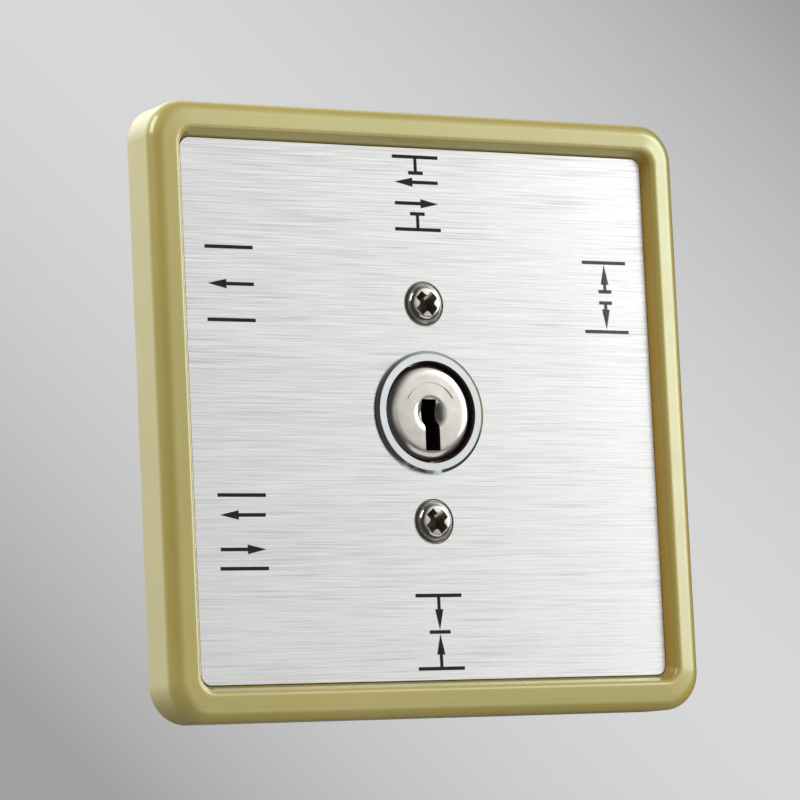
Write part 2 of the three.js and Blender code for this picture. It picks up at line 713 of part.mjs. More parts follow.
// Pan-head screw along Y with a single slot. The head faces -Y when facing is -1, +Y when it is 1.
function panScrew(x, z, seat, facing, [headR, headT, shankR, length]) {
  const headEnd = seat + facing * headT;
  const tip = seat - facing * length;
  const lap = seat + facing * 0.2;
  const frontR = facing > 0 ? headR : HEAD_TAPER * headR;
  const backR = facing > 0 ? HEAD_TAPER * headR : headR;
  const head = post(x, z, Math.min(seat, headEnd), Math.max(seat, headEnd), frontR, backR, 16);
  const shank = post(x, z, Math.min(lap, tip), Math.max(lap, tip), shankR, shankR, 12);
  const slotYs = [headEnd - facing * SLOT_SHARE * headT, headEnd + facing].sort((a, b) => a - b);
  const slot = box(x - headR, x + headR, slotYs[0], slotYs[1], z - SLOT_HALF, z + SLOT_HALF);
  return cut(join(head, shank), slot);
}

const bridgeScrewSeat = -BRIDGE_T - 0.1;
addPart('bridge_screw_left', panScrew(-BRIDGE_SCREW_X, 0, bridgeScrewSeat, -1, BRIDGE_SCREW), zinc);
addPart('bridge_screw_right', panScrew(BRIDGE_SCREW_X, 0, bridgeScrewSeat, -1, BRIDGE_SCREW), zinc);

// ---------------------------------------------------------------- switch housing

const cornerSigns = [[1, 1], [1, -1], [-1, -1], [-1, 1]];
const corners = cornerSigns.map(([sx, sz]) => [sx * CORNER_SCREW, sz * CORNER_SCREW]);
const housingOuter = slab(roundedSquare(HOUSING_HALF, HOUSING_CORNER_R), HOUSING_FRONT, HOUSING_BACK);
const housingInner = slab(
  roundedSquare(HOUSING_HALF - HOUSING_WALL, HOUSING_CORNER_R - HOUSING_WALL),
  HOUSING_FLOOR, HOUSING_BACK + 1,
);
const cornerBosses = corners.map(([x, z]) => (
  post(x, z, HOUSING_FLOOR - 0.5, HOUSING_BACK, BOSS_R).intersect(housingOuter)
));
const rootFront = HOUSING_FLOOR - 0.5;
const sideBosses = [BRIDGE_SCREW_X, -BRIDGE_SCREW_X].map((x) => (
  post(x, 0, rootFront, SIDE_BOSS_END, SIDE_BOSS_R)
));
const leafPosts = [1, -1].map((side) => {
  const zs = [side * LEAF_POST_NEAR, side * LEAF_POST_FAR].sort((a, b) => a - b);
  const slotZs = [side * LEAF_SLOT_NEAR, side * LEAF_SLOT_FAR].sort((a, b) => a - b);
  const starBack = STAR_Y + STAR_T;
  return cut(
    box(LEAF_X - 0.9, LEAF_X + 2.1, rootFront, starBack + 0.4, zs[0], zs[1]),
    box(LEAF_X - 0.25, LEAF_X + LEAF_T + 0.25, STAR_Y - 0.1, starBack + 1, slotZs[0], slotZs[1]),
  );
});
const stopRib = sector(STOP_R0, STOP_R1, STOP_ANGLE, STOP_HALF_ANGLE, rootFront, ROTOR_DISC_BACK - 0.1);
const wallBack = HOUSING_FLOOR + 1;
addPart('switch_housing', cut(
  join(cut(housingOuter, housingInner), ...cornerBosses, ...sideBosses, ...leafPosts, stopRib),
  post(0, 0, HOUSING_FRONT - 1, wallBack, BRIDGE_HOLE_R, BRIDGE_HOLE_R, 36),
  ...[SCREW_Z, -SCREW_Z].map((z) => (
    post(0, z, HOUSING_FRONT - 1, wallBack, PILLAR_SPIGOT_R + HOUSING_SPIGOT_GAP)
  )),
  ...[BRIDGE_SCREW_X, -BRIDGE_SCREW_X].map((x) => (
    post(x, 0, HOUSING_FRONT - 1, SIDE_BOSS_HOLE_END, SIDE_BOSS_HOLE_R)
  )),
  ...corners.map(([x, z]) => post(x, z, BOSS_HOLE_FLOOR, HOUSING_BACK + 1, BOSS_HOLE_R)),
), blackPlastic);

// ---------------------------------------------------------------- indexing and rotor

const starOutline = Array.from({ length: STAR_POINTS }, (_, i) => {
  const angle = (i / STAR_POINTS) * 2 * Math.PI;
  const r = STAR_R - STAR_LOBE * Math.cos(STAR_LOBES * angle);
  return new THREE.Vector2(r * Math.cos(angle), r * Math.sin(angle));
});
const starHoleR = ROTOR_HUB_R + STAR_GAP;
addPart('star_wheel', cut(
  slab(new THREE.Shape(starOutline), STAR_Y, STAR_Y + STAR_T),
  post(0, 0, STAR_Y - 1, STAR_Y + STAR_T + 1, starHoleR, starHoleR, 36),
), brass);

// Leaf spring held at both ends, with a V that drops into the star wheel's hollows.
const leafHalfRun = [
  [LEAF_X, LEAF_HALF],
  [LEAF_X, LEAF_KNEE],
  [LEAF_NOSE_X, LEAF_NOSE_HALF],
];
const leafFront = [...leafHalfRun, ...leafHalfRun.map(([x, z]) => [x, -z]).reverse()];
const leafBack = leafFront.map(([x, z]) => [x + LEAF_T, z]).reverse();
const leafPoints = [...leafFront, ...leafBack].map(([x, z]) => new THREE.Vector2(x, z));
const leafShape = new THREE.Shape(leafPoints);
addPart('index_spring', slab(leafShape, STAR_Y + 0.1, STAR_Y + STAR_T - 0.1), springSteel);

const rotorBody = turned([
  [0, ROTOR_FRONT],
  [ROTOR_HUB_R, ROTOR_FRONT],
  [ROTOR_HUB_R, ROTOR_DISC_FRONT],
  [ROTOR_DISC_R, ROTOR_DISC_FRONT],
  [ROTOR_DISC_R, ROTOR_DISC_BACK],
  [ROTOR_HUB_R - 0.2, ROTOR_DISC_BACK],
  [ROTOR_HUB_R - 0.2, ROTOR_BACK],
  [0, ROTOR_BACK],
]);
const lugBack = ROTOR_DISC_BACK - 0.2;
const lug = sector(ROTOR_DISC_R - 1, LUG_R, LUG_ANGLE, LUG_HALF_ANGLE, ROTOR_DISC_FRONT, lugBack);
const socketHalf = TAIL_HALF + 0.2;
const socket = box(-socketHalf, socketHalf, ROTOR_FRONT - 1, ROTOR_BACK + 1, -socketHalf, socketHalf);
addPart('rotor', cut(join(rotorBody, lug), socket), whitePlastic);

// Wiper: a ring on the rotor with a two-fingered arm, bridging the common ring and one position contact.
const wiperFront = ROTOR_DISC_BACK + WIPER_GAP;
const wiperBack = wiperFront + WIPER_T;
const wiperTip = CONTACT_FRONT - 0.1;
const wiperSpots = [
  [WIPER_FINGER_X, -CONTACT_R],
  [-WIPER_FINGER_X, -CONTACT_R],
  [0, COMMON_R],
];
const wiperTips = wiperSpots.map(([x, z]) => post(x, z, wiperFront + 0.1, wiperTip, 0.7, 0.3, 8));
const wiperArm = box(
  -WIPER_ARM_HALF, WIPER_ARM_HALF, wiperFront, wiperBack, -CONTACT_R - 1.2, -ROTOR_HUB_R - 0.6,
);
const wiperSlit = box(
  -WIPER_SLIT_HALF, WIPER_SLIT_HALF, wiperFront - 1, wiperBack + 1,
  -CONTACT_R - 2, -CONTACT_R + WIPER_SLIT_LENGTH,
);
const wiperRing = ring(ROTOR_HUB_R + 0.1, WIPER_RING_R, wiperFront, wiperBack);
addPart('wiper', cut(join(wiperRing, wiperArm, ...wiperTips), wiperSlit), brass);

// ---------------------------------------------------------------- contact board and fixed contacts

// Stem of a contact through the board, spread over on the back.
function rivet(x, z) {
  const headFront = BOARD_BACK + 0.1;
  return join(
    post(x, z, CONTACT_BACK - 0.2, RIVET_REACH, RIVET_R, RIVET_R, 10),
    post(x, z, headFront, headFront + RIVET_HEAD_T, RIVET_HEAD_R, RIVET_CROWN_R, 12),
  );
}

const positionNames = ['locked', 'automatic', 'exit_only', 'part_open', 'held_open'];
const contactSpots = positionNames.map((_, i) => (
  positionDirection(i * POSITION_STEP).multiplyScalar(RIVET_SPOT_R)
));
const commonSpot = positionDirection(5 * POSITION_STEP).multiplyScalar(COMMON_R);
const rivetHoleR = RIVET_R + RIVET_GAP;
const boardHoles = [...contactSpots, commonSpot].map((spot) => (
  post(spot.x, spot.y, BOARD_FRONT - 1, BOARD_BACK + 1, rivetHoleR, rivetHoleR, 10)
));
const bushR = ROTOR_HUB_R + 0.1;
addPart('contact_board', cut(
  slab(roundedSquare(HOUSING_HALF, HOUSING_CORNER_R), BOARD_FRONT, BOARD_BACK),
  post(0, 0, BOARD_FRONT - 1, BOARD_BACK + 1, bushR, bushR, 36),
  ...boardHoles,
  ...corners.map(([x, z]) => post(x, z, BOARD_FRONT - 1, BOARD_BACK + 1, BOARD_HOLE_R)),
), boardBrown);

addPart('contact_common', join(
  ring(COMMON_R - COMMON_HALF_W, COMMON_R + COMMON_HALF_W, CONTACT_FRONT, CONTACT_BACK),
  rivet(commonSpot.x, commonSpot.y),
), brass);

positionNames.forEach((name, i) => {
  const angle = i * POSITION_STEP;
  const pad = sector(
    CONTACT_PAD_R0, CONTACT_PAD_R1, angle, CONTACT_PAD_HALF_ANGLE, CONTACT_FRONT, CONTACT_BACK,
  );
  addPart(`contact_${name}`, join(pad, rivet(contactSpots[i].x, contactSpots[i].y)), brass);
});

corners.forEach(([x, z], i) => {
  addPart(`board_screw_${i + 1}`, panScrew(x, z, BOARD_BACK + 0.1, 1, BOARD_SCREW), zinc);
});

// ---------------------------------------------------------------- terminal block

const terminalZs = Array.from({ length: TERMINAL_COUNT }, (_, i) => (
  (i - (TERMINAL_COUNT - 1) / 2) * TERMINAL_PITCH
));
const blockHalfZ = (TERMINAL_COUNT * TERMINAL_PITCH) / 2;
const cageFront = BLOCK_Y0 + CAGE_SINK;
const cageBack = cageFront + CAGE_T;
const screwSeat = BLOCK_Y1 - CAGE_SINK - TERMINAL_SCREW[1];
const chamberHalfZ = CAGE_HALF_Z + CAGE_GAP;

addPart('terminal_block', cut(
  box(BLOCK_X0, BLOCK_X1, BLOCK_Y0, BLOCK_Y1, -blockHalfZ, blockHalfZ),
  ...terminalZs.flatMap((z) => [
    box(CAGE_X0 - 0.4, BLOCK_X1 + 1, cageFront - CAGE_GAP, cageBack + CAGE_GAP,
      z - chamberHalfZ, z + chamberHalfZ),
    post(TERMINAL_X, z, cageBack, BLOCK_Y1 + 1, TERMINAL_SCREW_WELL_R, TERMINAL_SCREW_WELL_R, 14),
  ]),
), greenPlastic);

terminalZs.forEach((z, i) => {
  const mouthHalf = CAGE_MOUTH_HALF_Z;
  const cage = cut(
    box(CAGE_X0, CAGE_X1, cageFront, cageBack, z - CAGE_HALF_Z, z + CAGE_HALF_Z),
    box(CAGE_X0 - 1, CAGE_X1 + 1, cageFront + 0.6, cageFront + 3.2, z - mouthHalf, z + mouthHalf),
    post(TERMINAL_X, z, cageFront + 1, cageBack + 1, CAGE_THREAD_R, CAGE_THREAD_R, 10),
  );
  addPart(`terminal_clamp_${i + 1}`, cage, zinc);
  addPart(`terminal_screw_${i + 1}`, panScrew(TERMINAL_X, z, screwSeat, 1, TERMINAL_SCREW), zinc);
});

export default switchModel;
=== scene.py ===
import json
import math

import bmesh
import bpy
from mathutils import Matrix, Vector

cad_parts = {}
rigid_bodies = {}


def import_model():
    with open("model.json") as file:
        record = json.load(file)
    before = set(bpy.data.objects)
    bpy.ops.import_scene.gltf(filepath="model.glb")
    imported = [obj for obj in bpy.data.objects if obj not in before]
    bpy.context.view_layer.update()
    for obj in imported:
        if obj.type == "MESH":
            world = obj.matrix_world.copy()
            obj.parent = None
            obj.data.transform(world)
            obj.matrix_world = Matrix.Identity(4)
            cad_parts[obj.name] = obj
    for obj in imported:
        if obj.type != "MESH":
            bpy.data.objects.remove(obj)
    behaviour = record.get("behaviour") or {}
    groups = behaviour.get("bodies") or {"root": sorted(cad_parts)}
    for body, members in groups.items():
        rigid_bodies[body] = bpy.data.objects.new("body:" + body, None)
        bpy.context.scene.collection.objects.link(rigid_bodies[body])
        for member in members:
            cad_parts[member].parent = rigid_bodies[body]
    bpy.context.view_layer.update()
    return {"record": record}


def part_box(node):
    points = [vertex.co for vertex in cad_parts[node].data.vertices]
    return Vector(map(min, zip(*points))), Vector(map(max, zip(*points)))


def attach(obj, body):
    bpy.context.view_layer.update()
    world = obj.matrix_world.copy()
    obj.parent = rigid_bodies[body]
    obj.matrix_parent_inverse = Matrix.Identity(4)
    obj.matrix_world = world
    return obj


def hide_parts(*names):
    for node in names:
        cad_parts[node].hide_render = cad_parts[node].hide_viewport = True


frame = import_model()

# Selector key switch: the finished meshes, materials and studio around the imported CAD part.
# Meshes are drawn in millimetres and scaled to metres when they become pieces.
# The face looks along -Y and everything at +Y is behind the wall.

MM = 0.001
BODIES = frame["record"]["behaviour"]["bodies"]
BODY_OF = {node: body for body, nodes in BODIES.items() for node in nodes}


def box_mm(node):
    """Lowest and highest corner of a CAD node in millimetres."""
    low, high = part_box(node)
    return low / MM, high / MM


# ---------------- measures taken from the frame

FRAME_LOW, FRAME_HIGH = box_mm("front_frame")
PLATE_LOW, PLATE_HIGH = box_mm("face_plate")
BARREL_LOW, BARREL_HIGH = box_mm("lock_housing")
PLUG_LOW, PLUG_HIGH = box_mm("lock_plug")
HOUSING_LOW, HOUSING_HIGH = box_mm("switch_housing")
BRIDGE_LOW, BRIDGE_HIGH = box_mm("mounting_bridge")
BOARD_LOW, BOARD_HIGH = box_mm("contact_board")
BLOCK_LOW, BLOCK_HIGH = box_mm("terminal_block")
ROTOR_LOW, ROTOR_HIGH = box_mm("rotor")
STAR_LOW, STAR_HIGH = box_mm("star_wheel")
NUT_LOW, NUT_HIGH = box_mm("lock_nut")
WASHER_LOW, WASHER_HIGH = box_mm("lock_washer")

FRAME_HALF = FRAME_HIGH.x
FRAME_CREST = FRAME_LOW.y
LIP_HALF = 38.65
OPENING_HALF = 38.0
PLATE_HALF = PLATE_HIGH.x
PLATE_FRONT = PLATE_LOW.y
PLATE_BACK = PLATE_HIGH.y
HOUSING_HALF = HOUSING_HIGH.x
BOARD_FRONT = BOARD_LOW.y
BOARD_BACK = BOARD_HIGH.y

# ---------------- mesh helpers

# How far a cutting tool stands out of what it cuts.
CLEAR = 1.0


def mesh_of(vertices, faces):
    """Mesh with its face normals pointing out."""
    mesh = bpy.data.meshes.new("part")
    mesh.from_pydata(vertices, [], faces)
    work = bmesh.new()
    work.from_mesh(mesh)
    bmesh.ops.recalc_face_normals(work, faces=work.faces)
    work.to_mesh(mesh)
    work.free()
    return mesh


def skin(rings, looped=False):
    """Surface through rings of equally many points, closed by flat ends or by looping back to the first."""
    count = len(rings[0])
    vertices = [point for ring in rings for point in ring]
    ends = [list(range(count)), list(range(len(vertices) - count, len(vertices)))[::-1]]
    faces = [] if looped else ends
    for k in range(len(rings) if looped else len(rings) - 1):
        near, far = k * count, (k + 1) % len(rings) * count
        for i in range(count):
            j = (i + 1) % count
            faces.append([near + i, near + j, far + j, far + i])
    return mesh_of(vertices, faces)


def lathe(profile, sides=96, x=0.0, z=0.0):
    """Solid of revolution about a line along Y. Its (radius, y) profile ends on the axis or is closed."""
    closed = profile[0] == profile[-1]
    points = profile[:-1] if closed else profile
    vertices, rings = [], []
    for r, y in points:
        if r < 1e-6:
            rings.append([len(vertices)] * sides)
            vertices.append((x, y, z))
            continue
        rings.append([len(vertices) + i for i in range(sides)])
        for i in range(sides):
            turn = 2 * math.pi * i / sides
            vertices.append((x + r * math.cos(turn), y, z + r * math.sin(turn)))
    faces = []
    for k in range(len(rings) if closed else len(rings) - 1):
        near, far = rings[k], rings[(k + 1) % len(rings)]
        for i in range(sides):
            j = (i + 1) % sides
            corners = dict.fromkeys([near[i], near[j], far[j], far[i]])
            if len(corners) > 2:
                faces.append(list(corners))
    return mesh_of(vertices, faces)


def washer(inner, outer, y0, y1, sides=96):
    """Flat ring about the middle axis."""
    return lathe([(inner, y0), (outer, y0), (outer, y1), (inner, y1), (inner, y0)], sides)


def prism(outline, y0, y1):
    """Outline of (x, z) points with its thickness from y0 to y1."""
    return skin([[(x, y, z) for x, z in outline] for y in (y0, y1)])


def block(x0, x1, y0, y1, z0, z1):
    return prism([(x0, z0), (x1, z0), (x1, z1), (x0, z1)], y0, y1)


def cylinder(radius, y0, y1, x=0.0, z=0.0, sides=48):
    return lathe([(0, y0), (radius, y0), (radius, y1), (0, y1)], sides, x, z)


def hole(radius, y0, y1, x=0.0, z=0.0, sides=48):
    """Tool for a round hole from y0 to y1, which stands out at both ends."""
    return cylinder(radius, y0 - CLEAR, y1 + CLEAR, x, z, sides)


def rounded(corners, steps=8):
    """Outline through (x, z, radius) corners, each corner turned into an arc."""
    outline = []
    for i, (x, z, radius) in enumerate(corners):
        here = Vector((x, z))
        before = (Vector(corners[i - 1][:2]) - here).normalized()
        after = (Vector(corners[(i + 1) % len(corners)][:2]) - here).normalized()
        half = before.angle(after) / 2
        if radius < 1e-6 or half > math.pi / 2 - 1e-3:
            outline.append((x, z))
            continue
        centre = here + (before + after).normalized() * (radius / math.sin(half))
        start = here + before * (radius / math.tan(half)) - centre
        end = here + after * (radius / math.tan(half)) - centre
        sweep = start.angle_signed(end)
        for step in range(steps + 1):
            arm = start.copy()
            arm.rotate(Matrix.Rotation(-sweep * step / steps, 2))
            outline.append(tuple(centre + arm))
    return outline


def rounded_box(x0, x1, z0, z1, radius, steps=8):
    return rounded([(x0, z0, radius), (x1, z0, radius), (x1, z1, radius), (x0, z1, radius)], steps)


def rounded_square(half, radius, steps=10):
    return rounded_box(-half, half, -half, half, radius, steps)


def arc(centre, start, end, steps):
    """Points of a quarter round from start to end about a centre, in any two coordinates."""
    points = []
    for step in range(steps + 1):
        turn = math.pi / 2 * step / steps
        a, b = math.cos(turn), math.sin(turn)
        points.append(tuple(c + a * (s - c) + b * (e - c) for c, s, e in zip(centre, start, end)))
    return points


def position_direction(angle):
    """Direction of a switch position: zero points down, and it grows clockwise as seen from the front."""
    return Vector((-math.sin(angle), -math.cos(angle)))


def sector(r0, r1, angle, half_angle, steps=16):
    """Outline of part of a flat ring, centred on a switch position."""
    turns = [angle + half_angle * (2 * i / steps - 1) for i in range(steps + 1)]
    outer = [tuple(position_direction(turn) * r1) for turn in turns]
    inner = [tuple(position_direction(turn) * r0) for turn in reversed(turns)]
    return outer + inner


def thread(crest, root, y0, y1, pitch, sides=48, x=0.0, z=0.0):
    """Rod with a real helical thread that runs out at both ends."""
    rows_a_turn = 6
    rows = max(8, round((y1 - y0) / pitch * rows_a_turn))
    rings = []
    for row in range(rows + 1):
        y = y0 + (y1 - y0) * row / rows
        run_out = min(1.0, (y - y0) / pitch + 0.05, (y1 - y) / pitch + 0.05)
        ring = []
        for i in range(sides):
            turn = 2 * math.pi * i / sides
            phase = ((y - y0) / pitch - i / sides) % 1.0
            height = min(1.0, max(0.0, 1.3 - 2.6 * abs(phase - 0.5)))
            r = root + (crest - root) * height * run_out
            ring.append((x + r * math.cos(turn), y, z + r * math.sin(turn)))
        rings.append(ring)
    return skin(rings)


def turned_mesh(mesh, angle, centre=(0, 0, 0)):
    """The mesh turned about a line along Y through a centre."""
    to_centre = Matrix.Translation(centre)
    mesh.transform(to_centre @ Matrix.Rotation(angle, 4, "Y") @ to_centre.inverted())
    return mesh


def boolean(base, tools, operation):
    """The base mesh joined with or cut by each tool in turn."""
    scene_objects = bpy.context.scene.collection.objects
    target = bpy.data.objects.new("boolean_target", base)
    scene_objects.link(target)
    helpers = []
    for tool in tools:
        helper = bpy.data.objects.new("boolean_tool", tool)
        scene_objects.link(helper)
        helpers.append(helper)
        modifier = target.modifiers.new("boolean", "BOOLEAN")
        modifier.operation = operation
        modifier.solver = "MANIFOLD"
        modifier.object = helper
    bpy.context.view_layer.update()
    depsgraph = bpy.context.evaluated_depsgraph_get()
    result = bpy.data.meshes.new_from_object(target.evaluated_get(depsgraph))
    for helper in [target, *helpers]:
        bpy.data.objects.remove(helper)
    return result


def cut(base, *tools):
    return boolean(base, tools, "DIFFERENCE")


def join(base, *tools):
    return boolean(base, tools, "UNION")


SMOOTH_ANGLE = math.radians(38)


def finish_edges(piece, bevel):
    """Small rounds on the sharp edges, and normals that keep flat faces flat."""
    if bevel:
        modifier = piece.modifiers.new("edge_rounds", "BEVEL")
        modifier.width = bevel * MM
        modifier.segments = 3
        modifier.limit_method = "ANGLE"
        modifier.angle_limit = SMOOTH_ANGLE
        modifier.use_clamp_overlap = True
        modifier.miter_outer = "MITER_ARC"
    weighted = piece.modifiers.new("flat_faces", "WEIGHTED_NORMAL")
    weighted.keep_sharp = True


def add_piece(name, mesh, slot, body="root", bevel=0.0, smooth=SMOOTH_ANGLE):
    """A millimetre mesh becomes a piece of the object, in metres, riding on a body."""
    mesh.transform(Matrix.Scale(MM, 4))
    mesh.name = name
    mesh.shade_smooth()
    if not bevel:
        mesh.set_sharp_from_angle(angle=smooth)
    mesh.materials.clear()
    mesh.materials.append(LOOKS[slot])
    piece = bpy.data.objects.new(name, mesh)
    bpy.context.scene.collection.objects.link(piece)
    finish_edges(piece, bevel)
    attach(piece, body)
    return piece


def fine(node, mesh, slot, bevel=0.0, smooth=SMOOTH_ANGLE):
    """A detailed piece that stands for one CAD node."""
    piece = add_piece(node + "_fine", mesh, slot, BODY_OF[node], bevel, smooth)
    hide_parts(node)
    return piece


# ---------------- materials


def coat_faces(piece, material, chosen):
    """Second material on the faces that chosen(centre, normal) picks, with the centre in millimetres."""
    piece.data.materials.append(material)
    for face in piece.data.polygons:
        if chosen(face.center / MM, face.normal):
            face.material_index = 1


def feed(tree, socket, source):
    """Links a socket to another one, or sets it to a constant."""
    if isinstance(source, bpy.types.NodeSocket):
        tree.links.new(source, socket)
    else:
        socket.default_value = source


def calc(tree, operation, one, two=0.0):
    """Math node whose sides are numbers or sockets."""
    node = tree.nodes.new("ShaderNodeMath")
    node.operation = operation
    for socket, source in zip(node.inputs, (one, two)):
        feed(tree, socket, source)
    return node.outputs["Value"]


# The Mix node repeats its names for each kind of value, so its colour sockets are found by their places.
MIX_ONE, MIX_TWO, MIX_RESULT = 6, 7, 2


class Look:
    """A Principled material with procedural nodes in the object's own coordinates."""

    def __init__(self, name, **values):
        self.material = bpy.data.materials.new(name)
        self.material.use_nodes = True
        self.tree = self.material.node_tree
        self.shader = self.tree.nodes["Principled BSDF"]
        for key, value in values.items():
            self.shader.inputs[key.replace("_", " ")].default_value = value
        self.place = self.add("TexCoord", "Object")
        self.height = None

    def add(self, kind, output, **inputs):
        """New node with its inputs linked or set. Returns one of its outputs."""
        node = self.tree.nodes.new("ShaderNode" + kind)
        for key, source in inputs.items():
            feed(self.tree, node.inputs[key.replace("_", " ")], source)
        return node.outputs[output]

    def noise(self, size, detail=3.0, stretch=(1, 1, 1), roughness=0.5):
        """Noise whose features are about size millimetres across, stretched along an axis by a factor."""
        place = self.add("Mapping", "Vector", Vector=self.place, Scale=[1 / s for s in stretch])
        return self.add(
            "TexNoise", "Fac", Vector=place, Scale=1 / (size * MM), Detail=detail, Roughness=roughness)

    def parts(self, vector):
        """Sizes of a vector's X and Z, without their signs."""
        split = self.tree.nodes.new("ShaderNodeSeparateXYZ")
        self.tree.links.new(vector, split.inputs["Vector"])
        return [self.math("ABSOLUTE", split.outputs[axis]) for axis in ("X", "Z")]

    def off_centre(self):
        """Distance from the object's middle, measured along the sides of a square, in metres."""
        return self.math("MAXIMUM", *self.parts(self.place))

    def sideways(self):
        """How squarely the surface faces left or right, from 0 to 1."""
        return self.parts(self.add("TexCoord", "Normal"))[0]

    def spread(self, fac, low, high, start=0.0, end=1.0):
        """Maps fac from low..high to start..end."""
        ends = {"From_Min": low, "From_Max": high, "To_Min": start, "To_Max": end}
        return self.add("MapRange", "Result", Value=fac, **ends)

    def patches(self, size, detail, low, high, start=0.0, end=1.0):
        """Soft-edged noise patches: below low they are at start and above high at end."""
        return self.spread(self.noise(size, detail), low, high, start, end)

    def mix(self, fac, one, two):
        """Colour mix. Each side is a colour or a socket."""
        node = self.tree.nodes.new("ShaderNodeMix")
        node.data_type = "RGBA"
        feed(self.tree, node.inputs["Factor"], fac)
        for place, side in ((MIX_ONE, one), (MIX_TWO, two)):
            feed(self.tree, node.inputs[place], (*side, 1) if isinstance(side, tuple) else side)
        return node.outputs[MIX_RESULT]

    def math(self, operation, one, two=0.0):
        return calc(self.tree, operation, one, two)

    def colour(self, socket):
        self.tree.links.new(socket, self.shader.inputs["Base Color"])

    def roughness(self, size, detail, smooth, rough):
        """Uneven gloss between two values of roughness."""
        uneven = self.patches(size, detail, 0.3, 0.7, smooth, rough)
        self.tree.links.new(uneven, self.shader.inputs["Roughness"])

    def bump(self, fac, height, strength=1.0):
        """Adds relief of a height in millimetres. Later calls ride on earlier ones."""
        relief = {"Height": fac, "Distance": height * MM, "Strength": strength}
        if self.height:
            relief["Normal"] = self.height
        self.height = self.add("Bump", "Normal", **relief)
        self.tree.links.new(self.height, self.shader.inputs["Normal"])


def frame_paint():
    """Satin champagne lacquer: deep golden brown under a yellow-green sheen, with a fine orange peel and
    painted amber shade on the left and right inner walls of the opening.
    """
    look = Look(
        "frame_paint", Metallic=0.0, IOR=1.7, Specular_IOR_Level=1.0, Specular_Tint=(0.82, 1.0, 0.72, 1),
        Coat_Weight=0.9, Coat_Roughness=0.1, Coat_IOR=1.55)
    drift = look.patches(28, 2, 0.35, 0.65)
    flake = look.patches(0.22, 1, 0.4, 0.62)
    base = look.mix(drift, (0.515, 0.405, 0.088), (0.555, 0.435, 0.102))
    # Painted shade: the inner walls of the opening that face left or right get a deep amber in place of the
    # saturated shade that falls there.
    rim = look.spread(look.off_centre(), (LIP_HALF + 0.6) * MM, (OPENING_HALF + 0.2) * MM)
    side_wall_painted_shade = look.math("MULTIPLY", rim, look.spread(look.sideways(), 0.2, 0.85))
    base = look.mix(side_wall_painted_shade, base, (0.62, 0.36, 0.045))
    look.colour(look.mix(look.math("MULTIPLY", flake, 0.1), base, (0.74, 0.64, 0.28)))
    look.roughness(9, 4, 0.33, 0.42)
    look.bump(look.noise(1.6, 2), 0.012, 0.6)
    look.bump(look.noise(0.12, 1), 0.002, 0.4)
    return look.material


def plate_brushed():
    """Aluminium brushed along X: long fine scratches of several widths."""
    look = Look("plate_brushed", Metallic=1.0, Anisotropic=0.75)
    tangent = look.tree.nodes.new("ShaderNodeTangent")
    tangent.direction_type = "UV_MAP"
    tangent.uv_map = "brush"
    look.tree.links.new(tangent.outputs["Tangent"], look.shader.inputs["Tangent"])
    fine_lines = look.noise(0.13, 2, (90, 1, 1), 0.7)
    mid_lines = look.noise(0.26, 3, (80, 1, 1), 0.65)
    broad_lines = look.noise(2.6, 3, (22, 1, 1))
    scratches = look.spread(look.noise(0.14, 1, (110, 1, 1)), 0.58, 0.68)
    grain = look.spread(look.noise(0.2, 2, (2, 1, 1)), 0.35, 0.65, 0.0, 0.22)
    fine_share, mid_share = look.math("MULTIPLY", fine_lines, 0.68), look.math("MULTIPLY", mid_lines, 0.32)
    shade = look.math("ADD", fine_share, mid_share)
    tone = look.mix(look.spread(shade, 0.36, 0.62), (0.665, 0.67, 0.665), (0.94, 0.945, 0.93))
    tone = look.mix(look.spread(broad_lines, 0.35, 0.7, 0.0, 0.3), tone, (0.94, 0.94, 0.92))
    tone = look.mix(grain, tone, (0.74, 0.75, 0.74))
    look.colour(look.mix(look.math("MULTIPLY", scratches, 0.38), tone, (0.42, 0.42, 0.40)))
    look.tree.links.new(look.spread(shade, 0.35, 0.65, 0.36, 0.24), look.shader.inputs["Roughness"])
    look.bump(fine_lines, 0.008, 0.5)
    look.bump(mid_lines, 0.012, 0.4)
    return look.material


def board_brown():
    """Phenolic paper laminate: pressed fibres and a faint weave."""
    look = Look("board_brown", Metallic=0.0, Coat_Weight=0.15, Coat_Roughness=0.3)
    fibre = look.spread(look.noise(0.35, 4, (5, 1, 1)), 0.3, 0.7)
    cloud = look.patches(7, 3, 0.35, 0.7)
    base = look.mix(fibre, (0.19, 0.085, 0.028), (0.29, 0.145, 0.055))
    look.colour(look.mix(look.math("MULTIPLY", cloud, 0.35), base, (0.36, 0.20, 0.08)))
    look.roughness(0.6, 3, 0.38, 0.58)
    look.bump(look.noise(0.3, 3, (4, 1, 1)), 0.006, 0.5)
    return look.material


def two_tone(name, one, two, patch, gloss, relief, **values):
    """Patches of two tones under an uneven gloss and a fine relief.

    patch holds a noise size and detail, then the noise values between which the second tone comes in.
    gloss holds a noise size and detail, then the lowest and highest roughness.
    relief holds a height and strength for each layer, then its noise size, detail and stretch.
    """
    look = Look(name, **values)
    look.colour(look.mix(look.patches(*patch), one, two))
    look.roughness(*gloss)
    for height, strength, *grain in relief:
        look.bump(look.noise(*grain), height, strength)
    return look.material


def bezel_chrome():
    return two_tone(
        "bezel_chrome", (0.75, 0.785, 0.81), (0.81, 0.84, 0.86), patch=(3, 3, 0.35, 0.7),
        gloss=(0.6, 3, 0.05, 0.13), relief=[(0.0006, 0.5, 0.35, 2)], Metallic=1.0)


def plug_nickel():
    """Polished nickel, a little soft, with hairline wear and warm patches."""
    hairlines = (0.0006, 0.4, 0.08, 1, (1, 1, 9))
    return two_tone(
        "plug_nickel", (0.68, 0.64, 0.58), (0.76, 0.73, 0.68), patch=(2.4, 2, 0.35, 0.68),
        gloss=(1.1, 4, 0.13, 0.22), relief=[(0.004, 0.5, 0.9, 2), hairlines], Metallic=1.0)


